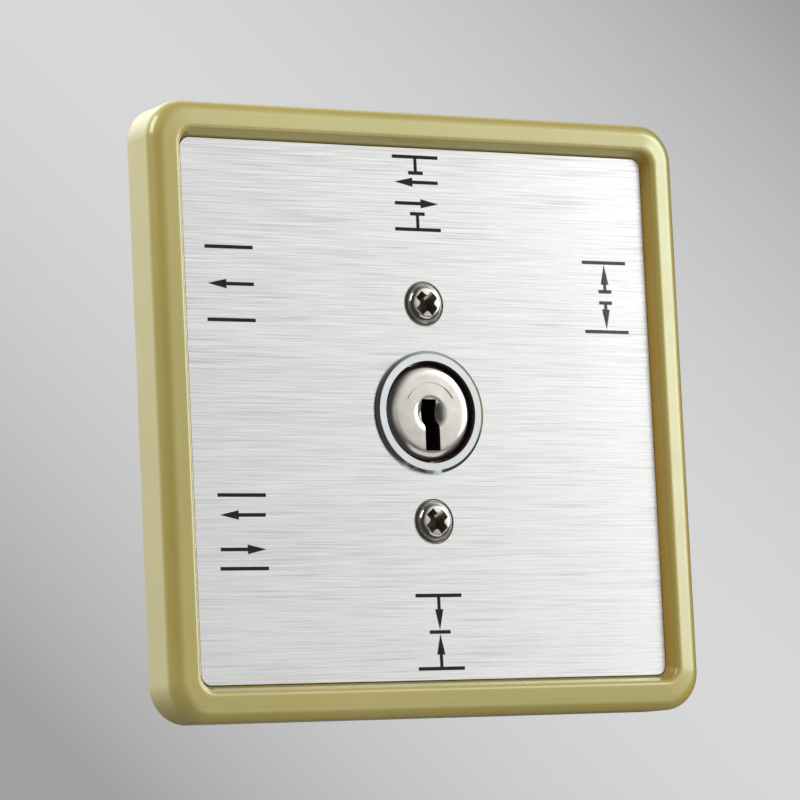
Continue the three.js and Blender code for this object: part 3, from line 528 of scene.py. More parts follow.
def screw_nickel():
    return two_tone(
        "screw_nickel", (0.72, 0.70, 0.65), (0.60, 0.57, 0.52), patch=(0.7, 3, 0.45, 0.75),
        gloss=(0.5, 3, 0.1, 0.2), relief=[(0.002, 0.5, 0.3, 2)], Metallic=1.0)


def zinc_plate():
    """Bright zinc over rolled steel: faint bluish blotches and rolling lines."""
    rolling = (0.003, 0.5, 0.25, 2, (18, 1, 1))
    return two_tone(
        "zinc_plate", (0.50, 0.53, 0.57), (0.64, 0.65, 0.66), patch=(4.5, 3, 0.35, 0.65),
        gloss=(1.4, 4, 0.24, 0.44), relief=[rolling, (0.004, 0.4, 1.2, 3)], Metallic=1.0)


def brass():
    return two_tone(
        "brass", (0.74, 0.53, 0.20), (0.48, 0.33, 0.14), patch=(2.2, 4, 0.45, 0.75),
        gloss=(0.8, 3, 0.2, 0.4), relief=[(0.002, 0.5, 0.2, 2, (9, 1, 1))], Metallic=1.0)


def spring_steel():
    return two_tone(
        "spring_steel", (0.36, 0.38, 0.42), (0.48, 0.46, 0.43), patch=(3, 3, 0.35, 0.7),
        gloss=(0.5, 3, 0.18, 0.34), relief=[(0.0015, 0.5, 0.15, 2, (1, 1, 12))], Metallic=1.0)


def board_trace():
    """Rolled and tinned copper."""
    return two_tone(
        "board_trace", (0.62, 0.52, 0.42), (0.72, 0.66, 0.58), patch=(1.6, 3, 0.35, 0.65),
        gloss=(0.4, 3, 0.3, 0.46), relief=[(0.006, 0.5, 0.5, 2)], Metallic=1.0)


def housing_black():
    """Glass-filled black nylon: a fine spark texture with paler scuffs."""
    return two_tone(
        "housing_black", (0.018, 0.019, 0.021), (0.045, 0.046, 0.048), patch=(6, 5, 0.55, 0.8, 0.0, 0.5),
        gloss=(0.5, 3, 0.45, 0.68), relief=[(0.02, 0.5, 0.28, 3)], Metallic=0.0)


def rotor_white():
    return two_tone(
        "rotor_white", (0.74, 0.71, 0.62), (0.82, 0.80, 0.73), patch=(5, 3, 0.35, 0.7),
        gloss=(0.9, 3, 0.36, 0.5), relief=[(0.004, 0.5, 0.4, 2)], Metallic=0.0,
        Subsurface_Weight=0.06, Subsurface_Radius=(0.002, 0.0016, 0.001))


def terminal_green():
    return two_tone(
        "terminal_green", (0.018, 0.16, 0.06), (0.03, 0.21, 0.085), patch=(4, 3, 0.35, 0.7),
        gloss=(0.7, 3, 0.3, 0.46), relief=[(0.004, 0.5, 0.25, 2)], Metallic=0.0)


def painted_shade_look(name, dark, pale):
    """Painted shade: a near-black tone with faint patches for hollows that the light does not reach."""
    return two_tone(
        name, dark, pale, patch=(0.5, 3, 0.35, 0.7), gloss=(0.3, 3, 0.45, 0.7),
        relief=[(0.004, 0.5, 0.2, 2)], Metallic=0.0)


def print_ink(name, fresh, worn):
    """Screen-printed ink with pinholes and slightly uneven cover."""
    return two_tone(
        name, fresh, worn, patch=(0.3, 3, 0.5, 0.75), gloss=(0.4, 3, 0.4, 0.62),
        relief=[(0.006, 0.6, 0.18, 2)], Metallic=0.0, Specular_IOR_Level=0.2)


LOOKS = {make.__name__: make() for make in (
    frame_paint, plate_brushed, bezel_chrome, plug_nickel, screw_nickel, zinc_plate, brass, spring_steel,
    housing_black, rotor_white, board_brown, terminal_green)}
LOOKS["print_ink"] = print_ink("print_ink", (0.008, 0.006, 0.007), (0.035, 0.03, 0.032))
# Painted shade: dark looks for the keyway walls, the counterbore wall and the face screws' recesses,
# standing for the shadow inside them.
KEYWAY_SHADE = painted_shade_look("keyway_painted_shade", (0.004, 0.0035, 0.003), (0.012, 0.010, 0.008))
BORE_SHADE = painted_shade_look("bore_painted_shade", (0.022, 0.013, 0.009), (0.045, 0.028, 0.02))
RECESS_SHADE = painted_shade_look("recess_painted_shade", (0.05, 0.034, 0.016), (0.085, 0.06, 0.03))
BOARD_TRACE = board_trace()
PALE_INK = print_ink("print_ink_pale", (0.075, 0.075, 0.08), (0.2, 0.2, 0.21))

# ---------------- front frame

FRAME_CORNER_R = 5.5
FRAME_EDGE_R = 2.2
FRAME_WALL = 2.0
FRAME_CROWN = 0.13
LIP_R = 0.8
OPENING_CORNER_R = 1.6
LEDGE_HALF = 35.5
LEDGE_FRONT = -4.35
LEDGE_BACK = -2.8
FRAME_FOOT_R = 0.25
RIB_HALF = 0.5
RIB_REACH = 1.2
RIB_BACK = -0.6
RIB_PLACES = (-30, -12, 12, 30)


def frame_corner_radius(half):
    """Corner radius of the rounded-square outline at a given half width."""
    slope = (FRAME_CORNER_R - OPENING_CORNER_R) / (FRAME_HALF - OPENING_HALF)
    return max(1.2, FRAME_CORNER_R - slope * (FRAME_HALF - half))


def square_ring(section, corner_steps):
    """Square ring made by carrying a closed section of (half width, y) points around rounded squares."""
    rings = []
    for half, y in section:
        outline = rounded_square(half, frame_corner_radius(half), corner_steps)
        rings.append([(x, y, z) for x, z in outline])
    return skin(rings, looped=True)


def front_frame():
    """Rounded front, inner lip and plate ledge, with short ribs behind the ledge."""
    inner = FRAME_HALF - FRAME_WALL
    shoulder = FRAME_CREST + FRAME_CROWN
    edge = (FRAME_HALF - FRAME_EDGE_R, shoulder + FRAME_EDGE_R)
    lip = (LIP_HALF + LIP_R, FRAME_CREST + LIP_R)
    crown = []
    for across in (0.75, 0.5, 0.25):
        crown.append((lip[0] + across * (edge[0] - lip[0]), FRAME_CREST + FRAME_CROWN * across))
    section = [
        (FRAME_HALF - FRAME_FOOT_R, 0),
        (FRAME_HALF, -FRAME_FOOT_R),
        *arc(edge, (FRAME_HALF, edge[1]), (edge[0], shoulder), 14),
        *crown,
        *arc(lip, (lip[0], FRAME_CREST), (LIP_HALF, lip[1]), 10),
        (OPENING_HALF, PLATE_FRONT),
        (OPENING_HALF, LEDGE_FRONT),
        (LEDGE_HALF, LEDGE_FRONT),
        (LEDGE_HALF, LEDGE_BACK),
        (inner, LEDGE_BACK),
        (inner, -FRAME_FOOT_R),
        (inner + FRAME_FOOT_R, 0),
    ]
    ribs = []
    for quarter in range(4):
        for along in RIB_PLACES:
            xs, zs = (along - RIB_HALF, along + RIB_HALF), (inner - RIB_REACH, inner + 0.3)
            ribs.append(turned_mesh(block(*xs, LEDGE_BACK - 0.2, RIB_BACK, *zs), quarter * math.pi / 2))
    return join(square_ring(section, 16), *ribs)


fine("front_frame", front_frame(), "frame_paint")

# ---------------- face plate

SCREW_Z = 15.5
SCREW_HEAD_R = 3.1
SCREW_SHANK_R = 1.6
BARREL_R = 8.0
PLATE_CORNER_R = 1.5


def face_plate():
    sheet = prism(rounded_square(PLATE_HALF, PLATE_CORNER_R), PLATE_FRONT, PLATE_BACK)
    tools = [hole(BARREL_R + 0.3, PLATE_FRONT, PLATE_BACK, sides=96)]
    head_r, shank_r = SCREW_HEAD_R + 0.12, SCREW_SHANK_R + 0.35
    sink = [
        (0, PLATE_FRONT - CLEAR), (head_r, PLATE_FRONT - CLEAR), (head_r, PLATE_FRONT + 0.15),
        (shank_r, PLATE_BACK), (shank_r, PLATE_BACK + CLEAR), (0, PLATE_BACK + CLEAR),
    ]
    for z in (SCREW_Z, -SCREW_Z):
        tools.append(lathe(sink, 64, 0, z))
    plate = cut(sheet, *tools)
    brush = plate.uv_layers.new(name="brush")
    for corner in plate.loops:
        point = plate.vertices[corner.vertex_index].co
        brush.data[corner.index].uv = (point.z / PLATE_HALF, point.x / PLATE_HALF)
    return plate


fine("face_plate", face_plate(), "plate_brushed", bevel=0.12)

# ---------------- printed pictograms

STROKE = 0.5
BAR = 7.5
HEAD_LONG = 2.9
HEAD_HALF = 0.66
INK_T = 0.03
INK_FRONT = PLATE_FRONT - INK_T
INK_BACK = PLATE_FRONT + 0.02


def stroke(x0, z0, x1, z1):
    """Straight printed line between two points."""
    along = Vector((x1 - x0, z1 - z0)).normalized()
    side = Vector((-along.y, along.x)) * (STROKE / 2)
    outline = [
        (x0 + side.x, z0 + side.y), (x0 - side.x, z0 - side.y),
        (x1 - side.x, z1 - side.y), (x1 + side.x, z1 + side.y),
    ]
    return prism(outline, INK_FRONT, INK_BACK)


def arrow_head(x, z, direction):
    """Slim arrow head with its tip at a point."""
    along = Vector(direction)
    side = Vector((-along.y, along.x)) * HEAD_HALF
    base = Vector((x, z)) - along * HEAD_LONG
    return prism([(x, z), tuple(base + side), tuple(base - side)], INK_FRONT, INK_BACK)


def side_arrow(z, way, length=7.1):
    """Arrow lying along X: way is -1 for left and 1 for right."""
    tip = way * 3.5
    tail = tip - way * length
    return [stroke(tail, z, tip - way * 0.8 * HEAD_LONG, z), arrow_head(tip, z, (way, 0))]


def bar(z, length=BAR):
    return [stroke(-length / 2, z, length / 2, z)]


def door_edge(far, near, length):
    """A long bar joined by a stem to the short bar of a door leaf."""
    return bar(far) + bar(near, length) + [stroke(0, far, 0, near)]


def upright_arrow(tail, neck, tip):
    """Arrow on the middle line: its line runs from tail to neck and its head ends at the tip."""
    return [stroke(0, tail, 0, neck), arrow_head(0, tip, (0, math.copysign(1, tip - tail)))]


def pictogram_locked():
    """Two arrows meet at a closed leaf."""
    arrows = upright_arrow(5.15, 2.6, 0.3) + upright_arrow(-5.15, -2.6, -0.3)
    return bar(5.15) + bar(0, 3.4) + bar(-5.15) + arrows


def pictogram_automatic():
    return bar(5.1) + side_arrow(2.35, -1) + side_arrow(-2.4, 1) + bar(-5.05)


def pictogram_exit_only():
    return bar(5.15) + side_arrow(0, -1, 7.2) + bar(-5.05)


def pictogram_part_open():
    parts = door_edge(5.2, 2.9, 2.4) + side_arrow(1.55, -1) + side_arrow(-1.5, 1)
    return parts + door_edge(-5.25, -3.0, 2.4)


def pictogram_held_open():
    """Two arrows run from the short bars of the leaves to the long bars."""
    arrows = upright_arrow(0.85, 2.6, 4.8) + upright_arrow(-0.8, -2.5, -4.65)
    return bar(5.1) + bar(-5.05) + bar(0.85, 2.2) + bar(-0.8, 2.2) + arrows


PICTOGRAMS = [
    ("locked", pictogram_locked, 0.15, -31.1),
    ("automatic", pictogram_automatic, -30.5, -16.9),
    ("exit_only", pictogram_exit_only, -30.9, 17.55),
    ("part_open", pictogram_part_open, -0.35, 31.4),
    ("held_open", pictogram_held_open, 30.75, 17.2),
]
for label, draw, x, z in PICTOGRAMS:
    print_mesh = join(*draw())
    print_mesh.transform(Matrix.Translation((x, 0, z)))
    printed = add_piece("pictogram_" + label, print_mesh, "print_ink")
    if label == "held_open":
        printed.data.materials[0] = PALE_INK

# ---------------- screws

SCREW_DOME_T = 1.0
SCREW_FLAT_R = 1.72
SCREW_DOME_R = 2.65
SCREW_CONE_BACK = -4.55
SCREW_TIP = box_mm("face_screw_top")[1].y
RECESS_WIDE = 1.46
RECESS_REACH = 2.0
RECESS_DEPTH = 1.6


def blade(turn, top, z):
    """One tapered blade of a driver recess, across the screw's axis."""
    grow = 1 + 0.35 * CLEAR / RECESS_DEPTH
    rings = []
    for y, along, across in ((top - CLEAR, grow, grow), (top + RECESS_DEPTH, 0.42, 0.62)):
        half_x, half_z = RECESS_REACH * along, RECESS_WIDE / 2 * across
        rings.append([(x, y, z + dz) for x, dz in rounded_box(-half_x, half_x, -half_z, half_z, 0)])
    return turned_mesh(skin(rings), turn, (0, 0, z))


def face_screw(z, turn):
    """Collared pan head with a cross recess, over a countersunk neck and a threaded shank."""
    top = PLATE_FRONT - SCREW_DOME_T
    foot = PLATE_FRONT - 0.1
    neck_end = SCREW_CONE_BACK + 0.6
    head = lathe([
        (0, top), (0.6 * SCREW_FLAT_R, top + 0.02),
        *arc((SCREW_FLAT_R, foot), (SCREW_FLAT_R, top + 0.06), (SCREW_DOME_R, foot), 12),
        (SCREW_DOME_R + 0.05, foot + 0.03), (SCREW_DOME_R + 0.12, foot),
        (SCREW_HEAD_R - 0.05, foot + 0.16), (SCREW_HEAD_R, foot + 0.24),
        (SCREW_SHANK_R, SCREW_CONE_BACK), (SCREW_SHANK_R - 0.1, neck_end), (0, neck_end),
    ], 64, 0, z)
    shank = thread(SCREW_SHANK_R, SCREW_SHANK_R - 0.3, SCREW_CONE_BACK + 0.3, SCREW_TIP, 0.7, 32, 0, z)
    mouth = [(0, top - 1), (1.4, top - 1), (1.16, top + 0.2), (0.8, top + 1.4), (0, top + 1.9)]
    flare = lathe(mouth, 32, 0, z)
    return cut(join(head, shank), flare, blade(turn, top, z), blade(turn + math.pi / 2, top, z))


def in_recess(z):
    """Chooses a face screw's recess faces: they lie near its axis and below its dome."""
    def chosen(centre, normal):
        out = math.hypot(centre.x, centre.z - z)
        sunk = centre.y - (PLATE_FRONT - SCREW_DOME_T)
        return out < SCREW_FLAT_R + 0.45 and 0.18 + 0.1 * out < sunk < 2.2
    return chosen


# Painted shade: the faces inside each face screw's cross recess are dark.
for node, z, turn in (("face_screw_top", SCREW_Z, 45), ("face_screw_bottom", -SCREW_Z, 50)):
    coat_faces(fine(node, face_screw(z, math.radians(turn)), "screw_nickel"), RECESS_SHADE, in_recess(z))


def slotted_screw(node, facing, head_t, shank_r, slot_turn):
    """Slotted pan-head screw in its CAD node's box. Its head faces -Y for facing -1 and +Y for facing 1."""
    low, high = box_mm(node)
    x, z, head_r = (low.x + high.x) / 2, (low.z + high.z) / 2, (high.x - low.x) / 2
    tip, head_end = (low.y, high.y) if facing > 0 else (high.y, low.y)
    seat = head_end - facing * head_t
    rim = seat + facing * 0.35 * head_t
    neck_end = seat - facing * 0.5
    root_r = shank_r * 0.8
    crown = arc((0.62 * head_r, rim), (0.62 * head_r, head_end), (head_r, rim), 8)
    profile = [(0, head_end), *crown, (head_r, seat), (root_r, seat), (root_r, neck_end), (0, neck_end)]
    shank = thread(shank_r, root_r, *sorted((seat + facing * 0.1, tip)), 0.5 * shank_r, 24, x, z)
    slot_ys = sorted((head_end - facing * 0.45 * head_t, head_end + facing))
    slot = block(x - head_r - 1, x + head_r + 1, *slot_ys, z - 0.13 * head_r, z + 0.13 * head_r)
    return cut(join(lathe(profile, 48, x, z), shank), turned_mesh(slot, slot_turn, (x, 0, z)))


# Each row: its nodes' names, facing, head thickness, shank radius, edge round, and the angle of each slot.
SCREW_ROWS = [
    ("bridge_screw_", -1, 1.8, 1.35, 0.06, {"left": 0.5, "right": 1.2}),
    ("board_screw_", 1, 1.6, 1.25, 0.06, {1: 0.3, 2: 2.0, 3: 1.1, 4: 2.7}),
    ("terminal_screw_", 1, 1.6, 1.0, 0.05, {1: 0.1, 2: 0.7, 3: 1.9, 4: 0.2, 5: 2.5, 6: 1.3}),
]
for stem, facing, head_t, shank_r, bevel, slot_turns in SCREW_ROWS:
    for place, slot_turn in slot_turns.items():
        node = f"{stem}{place}"
        fine(node, slotted_screw(node, facing, head_t, shank_r, slot_turn), "zinc_plate", bevel=bevel)

# ---------------- lock housing, washer and nut

BEZEL_FACE_R = 8.3
BEZEL_BEVEL = 0.25
COUNTERBORE_R = 7.2
COUNTERBORE_FLOOR = -4.0
BORE_R = 6.3
WAFER_HALF = 2.4
WAFER_T = 1.0
WAFER_GROOVE_R = 7.1
WAFER_SLOT_HALF = 0.7
WAFER_WINDOW = (-1.45, 1.45, -4.6, 1.4)
# The way in which each wafer slides out: 1 for up and -1 for down.
WAFER_SIDES = (1, -1, 1, -1, 1)
WAFER_BOXES = [box_mm(f"wafer_{i + 1}") for i in range(len(WAFER_SIDES))]
WAFER_YS = [(low.y + high.y) / 2 for low, high in WAFER_BOXES]
WASHER_TEETH = 12


def lock_housing():
    bezel_r = BARREL_HIGH.x
    front, seat = BARREL_LOW.y, PLATE_FRONT - 0.06
    neck_end = -4.9
    head = lathe(
        [(COUNTERBORE_R - 0.6, front), (BEZEL_FACE_R, front), (bezel_r, front + BEZEL_BEVEL),
         (bezel_r, seat), (BARREL_R, seat), (BARREL_R, neck_end),
         (COUNTERBORE_R - 0.6, neck_end), (COUNTERBORE_R - 0.6, front)], 128)
    barrel = thread(BARREL_R, BARREL_R - 0.5, neck_end - 0.4, BARREL_HIGH.y, 1.0, 96)
    bore = lathe(
        [(0, front - 1), (COUNTERBORE_R + 0.1, front - 1), (COUNTERBORE_R + 0.1, front),
         (COUNTERBORE_R, front + 0.1), (COUNTERBORE_R, COUNTERBORE_FLOOR), (BORE_R, COUNTERBORE_FLOOR),
         (BORE_R, BARREL_HIGH.y + 1), (0, BARREL_HIGH.y + 1)], 128)
    groove_front = WAFER_YS[0] - WAFER_T
    groove_back = WAFER_YS[-1] + WAFER_T
    grooves = []
    for step in range(3):
        half = WAFER_HALF + 0.3
        groove = block(-half, half, groove_front, groove_back, -WAFER_GROOVE_R, WAFER_GROOVE_R)
        grooves.append(turned_mesh(groove, step * math.pi / 3))
    return cut(join(barrel, head), bore, *grooves)


def in_counterbore(centre, normal):
    inward = centre.x * normal.x + centre.z * normal.z < -0.5
    return inward and centre.y < COUNTERBORE_FLOOR + 0.1


bezel = fine("lock_housing", lock_housing(), "bezel_chrome", smooth=math.radians(15))
# Painted shade: the counterbore's inner wall is dark brown.
coat_faces(bezel, BORE_SHADE, in_counterbore)


def lock_washer():
    """Toothed washer: notches around the rim with the teeth between them."""
    outer = WASHER_HIGH.x
    notches = []
    for i in range(WASHER_TEETH):
        outline = rounded_box(-0.5, 0.5, outer - 0.8, outer + 1, 0.25, 4)
        notch = prism(outline, WASHER_LOW.y - 1, WASHER_HIGH.y + 1)
        notches.append(turned_mesh(notch, (i + 0.5) * 2 * math.pi / WASHER_TEETH))
    return cut(washer(BARREL_R + 0.3, outer, WASHER_LOW.y, WASHER_HIGH.y, 144), *notches)


fine("lock_washer", lock_washer(), "zinc_plate", bevel=0.06)


def lock_nut():
    """Hexagonal nut with turned chamfers on its corners and a threaded bore."""
    flats = NUT_HIGH.z
    corner = flats / math.cos(math.pi / 6)
    hexagon = [(corner * math.cos(a), corner * math.sin(a)) for a in (i * math.pi / 3 for i in range(6))]
    rise = 0.45
    turned = lathe([
        (0, NUT_LOW.y), (flats, NUT_LOW.y), (corner + 0.1, NUT_LOW.y + rise),
        (corner + 0.1, NUT_HIGH.y - rise), (flats, NUT_HIGH.y), (0, NUT_HIGH.y),
    ], 128)
    trimmed = boolean(prism(hexagon, NUT_LOW.y, NUT_HIGH.y), [turned], "INTERSECT")
    return cut(trimmed, thread(BARREL_R + 0.45, BARREL_R + 0.15, NUT_LOW.y - 1, NUT_HIGH.y + 1, 1.0, 96))


fine("lock_nut", lock_nut(), "zinc_plate")

# ---------------- plug, clip, wafers and their springs

PLUG_FACE = PLUG_LOW.y
PLUG_FACE_R = 5.1
PLUG_HEAD_R = PLUG_HIGH.x
PLUG_RIM = -5.35
PLUG_R = 6.0
PLUG_BOSS_R = 4.4
PLUG_BOSS_END = 13.4
PLUG_CROWN = 0.08
TAIL_HALF = 3.0
CLIP_LOW, CLIP_HIGH = box_mm("plug_clip")
KEYWAY_TOP = 1.85
KEYWAY_BOTTOM = -5.5
KEYWAY_HALF = 1.2
KEYWAY_STEP = 0.18
KEYWAY_STEP_Z = -1.1
KEYWAY_STEP_DROP = 0.8
KEYWAY_END = 10.4
DIMPLE_R = 2.8
DIMPLE_Z = -0.25
DIMPLE_DEPTH = 0.95
GUIDE_ARC_R = 4.15
GUIDE_HALF_ANGLE = math.radians(62)
GUIDE_HALF_T = 0.13
GUIDE_DEPTH = 0.12
SPRING_POCKET_X = (2.2, 4.3)
SPRING_POCKET_Z = (-2.4, 2.6)
CLIP_MOUTH = [(-1.7, -1, 0), (1.7, -1, 0), (2.4, -9, 0), (-2.4, -9, 0)]
CLIP_EAR = (3.0, -5.9)
CLIP_EAR_R = 0.55


def keyway_outline():
    left, right = -KEYWAY_HALF, KEYWAY_HALF
    step_low = KEYWAY_STEP_Z - KEYWAY_STEP_DROP
    round_r = 0.2
    return rounded([
        (left - KEYWAY_STEP, KEYWAY_TOP, round_r),
        (left - KEYWAY_STEP, KEYWAY_STEP_Z, 0.4),
        (left + KEYWAY_STEP, step_low, 0.4),
        (left + KEYWAY_STEP, KEYWAY_BOTTOM, round_r),
        (right + KEYWAY_STEP, KEYWAY_BOTTOM, round_r),
        (right + KEYWAY_STEP, step_low, 0.4),
        (right - KEYWAY_STEP, KEYWAY_STEP_Z, 0.4),
        (right - KEYWAY_STEP, KEYWAY_TOP, round_r),
    ], 5)


def lock_plug():
    crown = []
    for i in range(9):
        r = PLUG_FACE_R * i / 8
        crown.append((r, PLUG_FACE + PLUG_CROWN * (r / PLUG_FACE_R) ** 2))
    shoulder = arc((PLUG_FACE_R, PLUG_RIM), (PLUG_FACE_R, crown[-1][1]), (PLUG_HEAD_R, PLUG_RIM), 16)
    dish = []
    for i in range(17):
        r = DIMPLE_R * i / 16
        dish.append((r, PLUG_FACE + 0.015 + DIMPLE_DEPTH * (1 + math.cos(math.pi * r / DIMPLE_R)) / 2))
    groove_r = PLUG_BOSS_R - 0.6
    blank = lathe([
        *crown[:-1], *shoulder,
        (PLUG_HEAD_R, COUNTERBORE_FLOOR - 0.3), (PLUG_R, COUNTERBORE_FLOOR - 0.3),
        (PLUG_R, BARREL_HIGH.y), (PLUG_BOSS_R, BARREL_HIGH.y),
        (PLUG_BOSS_R, CLIP_LOW.y - 0.1), (groove_r, CLIP_LOW.y - 0.1),
        (groove_r, CLIP_HIGH.y + 0.1), (PLUG_BOSS_R, CLIP_HIGH.y + 0.1),
        (PLUG_BOSS_R, PLUG_BOSS_END), (0, PLUG_BOSS_END),
    ], 128)
    tail = prism(rounded_square(TAIL_HALF, 0.4, 4), PLUG_BOSS_END - 0.5, PLUG_HIGH.y)
    tools = [
        prism(keyway_outline(), PLUG_FACE - 1, KEYWAY_END),
        lathe([(0, PLUG_FACE - 0.3), (DIMPLE_R, PLUG_FACE - 0.3), *dish[::-1]], 96, 0, DIMPLE_Z),
        prism(
            sector(GUIDE_ARC_R - GUIDE_HALF_T, GUIDE_ARC_R + GUIDE_HALF_T, math.pi, GUIDE_HALF_ANGLE, 48),
            PLUG_FACE - 1, PLUG_FACE + PLUG_CROWN + GUIDE_DEPTH),
    ]
    for y, side in zip(WAFER_YS, WAFER_SIDES):
        ys = (y - WAFER_SLOT_HALF, y + WAFER_SLOT_HALF)
        tools.append(block(-WAFER_HALF - 0.2, WAFER_HALF + 0.2, *ys, -PLUG_R - 1, PLUG_R + 1))
        xs = sorted(side * x for x in SPRING_POCKET_X)
        zs = sorted(side * z for z in SPRING_POCKET_Z)
        tools.append(block(*xs, *ys, *zs))
    return cut(join(blank, tail), *tools)


def in_keyway(centre, normal):
    wide = KEYWAY_HALF + KEYWAY_STEP + 0.05
    inside = abs(centre.x) < wide and KEYWAY_BOTTOM - 0.05 < centre.z < KEYWAY_TOP + 0.05
    return inside and abs(normal.y) < 0.5 and centre.y < KEYWAY_END + 0.1


# Painted shade: the keyway's side walls are near black.
coat_faces(fine("lock_plug", lock_plug(), "plug_nickel"), KEYWAY_SHADE, in_keyway)


def plug_clip():
    """Snap ring with a mouth and a plier hole in each end."""
    front, back = CLIP_LOW.y, CLIP_HIGH.y
    mouth = prism(rounded(CLIP_MOUTH), front - 1, back + 1)
    ears = [hole(CLIP_EAR_R, front, back, x, CLIP_EAR[1], 24) for x in (-CLIP_EAR[0], CLIP_EAR[0])]
    return cut(washer(PLUG_BOSS_R - 0.4, CLIP_HIGH.x, front, back), mouth, *ears)


fine("plug_clip", plug_clip(), "spring_steel", bevel=0.08)


def wafer(y, side):
    """Stamped wafer: a slice of the plug's round with a rounded key window and a spring tab."""
    radius = WAFER_BOXES[0][1].z
    y0, y1 = y - WAFER_T / 2, y + WAFER_T / 2
    strip = block(-WAFER_HALF, WAFER_HALF, y0 - 1, y1 + 1, -radius - 1, radius + 1)
    slice_mesh = boolean(cylinder(radius, y0, y1, sides=96), [strip], "INTERSECT")
    xs = sorted((side * (WAFER_HALF - 0.3), side * 4.05))
    zs = sorted((side * 0.75, side * 1.45))
    tab = prism(rounded_box(*xs, *zs, 0.2, 4), y0, y1)
    window = prism(rounded_box(*WAFER_WINDOW, 0.35, 5), y0 - 1, y1 + 1)
    return cut(join(slice_mesh, tab), window)


def coil(node, radius, wire_r, turns, sides=10, steps_a_turn=24):
    """Compression spring along Z in its CAD node's box, with closed end turns."""
    low, high = box_mm(node)
    centre = (low + high) / 2
    z0, z1 = low.z + wire_r, high.z - wire_r
    steps = round(turns * steps_a_turn)
    rings = []
    for step in range(steps + 1):
        t = step / steps
        turn = 2 * math.pi * turns * t
        ease = t - math.sin(2 * math.pi * t) / (2 * math.pi)
        outward = Vector((math.cos(turn), math.sin(turn), 0))
        spine = Vector((centre.x, centre.y, z0 + (z1 - z0) * ease)) + radius * outward
        ring = []
        for i in range(sides):
            angle = 2 * math.pi * i / sides
            ring.append(spine + wire_r * (math.cos(angle) * outward + math.sin(angle) * Vector((0, 0, 1))))
        rings.append(ring)
    return skin(rings)


for i, (y, side) in enumerate(zip(WAFER_YS, WAFER_SIDES)):
    fine(f"wafer_{i + 1}", wafer(y, side), "brass", bevel=0.06)
    node = f"wafer_spring_{i + 1}"
    fine(node, coil(node, 0.45, 0.12, 5.5), "spring_steel")

# ---------------- bridge and pillars

BRIDGE_T = 1.2
PILLAR_SPIGOT_R = 2.7
PILLAR_BORE_R = 1.9
BRIDGE_HOLE_R = 9.0
BRIDGE_SCREW_X = 17.5
BOX_SCREW_X = 30.15
BOX_SLOT_HALF_X = 5.0
BOX_SLOT_HALF_Z = 2.5
FLANGE_HALF_X = 20


def mounting_bridge():
    """Pressed steel bridge with box-screw slots and two folded edges."""
    half_x, half_z = BRIDGE_HIGH.x, BRIDGE_HIGH.z
    front, back = BRIDGE_LOW.y, BRIDGE_LOW.y + BRIDGE_T
    quarter = [(-half_x, 10, 2), (-24, 12, 3), (-22, half_z, 1.5)]
    top = quarter + [(-x, z, r) for x, z, r in reversed(quarter)]
    corners = top + [(x, -z, r) for x, z, r in reversed(top)]
    sheet = prism(rounded(corners, 8), front, back)
    fold_z = half_z - BRIDGE_T
    profile = [
        *arc((fold_z, front + BRIDGE_T), (fold_z, front), (half_z, front + BRIDGE_T), 8),
        (half_z, BRIDGE_HIGH.y), (fold_z, BRIDGE_HIGH.y), (fold_z, back + 0.8),
        (fold_z - 0.8, back), (half_z - 4, back), (half_z - 4, front),
    ]
    flanges = []
    reach = FLANGE_HALF_X + 0.01
    for side in (1, -1):
        ends = [[(x, y, side * z) for z, y in profile] for x in (-FLANGE_HALF_X, FLANGE_HALF_X)]
        flanges.append(skin(ends))
        zs = sorted((side * fold_z, side * (half_z + 1)))
        sheet = cut(sheet, block(-reach, reach, front - 1, back + 1, *zs))
    holes = [hole(BRIDGE_HOLE_R, front, back, sides=96)]
    holes += [hole(PILLAR_SPIGOT_R + 0.1, front, back, 0, z) for z in (SCREW_Z, -SCREW_Z)]
    holes += [hole(1.7, front, back, x, 0) for x in (BRIDGE_SCREW_X, -BRIDGE_SCREW_X)]
    for x in (BOX_SCREW_X, -BOX_SCREW_X):
        xs = (x - BOX_SLOT_HALF_X, x + BOX_SLOT_HALF_X)
        slot = rounded_box(*xs, -BOX_SLOT_HALF_Z, BOX_SLOT_HALF_Z, BOX_SLOT_HALF_Z - 0.001, 12)
        holes.append(prism(slot, front - CLEAR, back + CLEAR))
    return cut(join(sheet, *flanges), *holes)


fine("mounting_bridge", mounting_bridge(), "zinc_plate", bevel=0.12)


def pillar(node, z):
    """Riveted pillar with a face-screw thread, its spigot swaged over behind the bridge."""
    low, high = box_mm(node)
    radius = high.x
    seat, spread_r = BRIDGE_LOW.y - 0.05, PILLAR_SPIGOT_R + 0.25
    body = lathe([
        (0, low.y), (radius - 0.25, low.y), (radius, low.y + 0.25), (radius, seat),
        (PILLAR_SPIGOT_R, seat), (PILLAR_SPIGOT_R, 0.05), (spread_r, 0.2),
        (spread_r - 0.1, high.y - 0.3), (PILLAR_SPIGOT_R - 0.4, high.y), (0, high.y),
    ], 64, 0, z)
    return cut(body, thread(PILLAR_BORE_R, PILLAR_BORE_R - 0.22, low.y - 1, high.y + 1, 0.7, 32, 0, z))


fine("pillar_top", pillar("pillar_top", SCREW_Z), "zinc_plate")
fine("pillar_bottom", pillar("pillar_bottom", -SCREW_Z), "zinc_plate")

# ---------------- switch housing

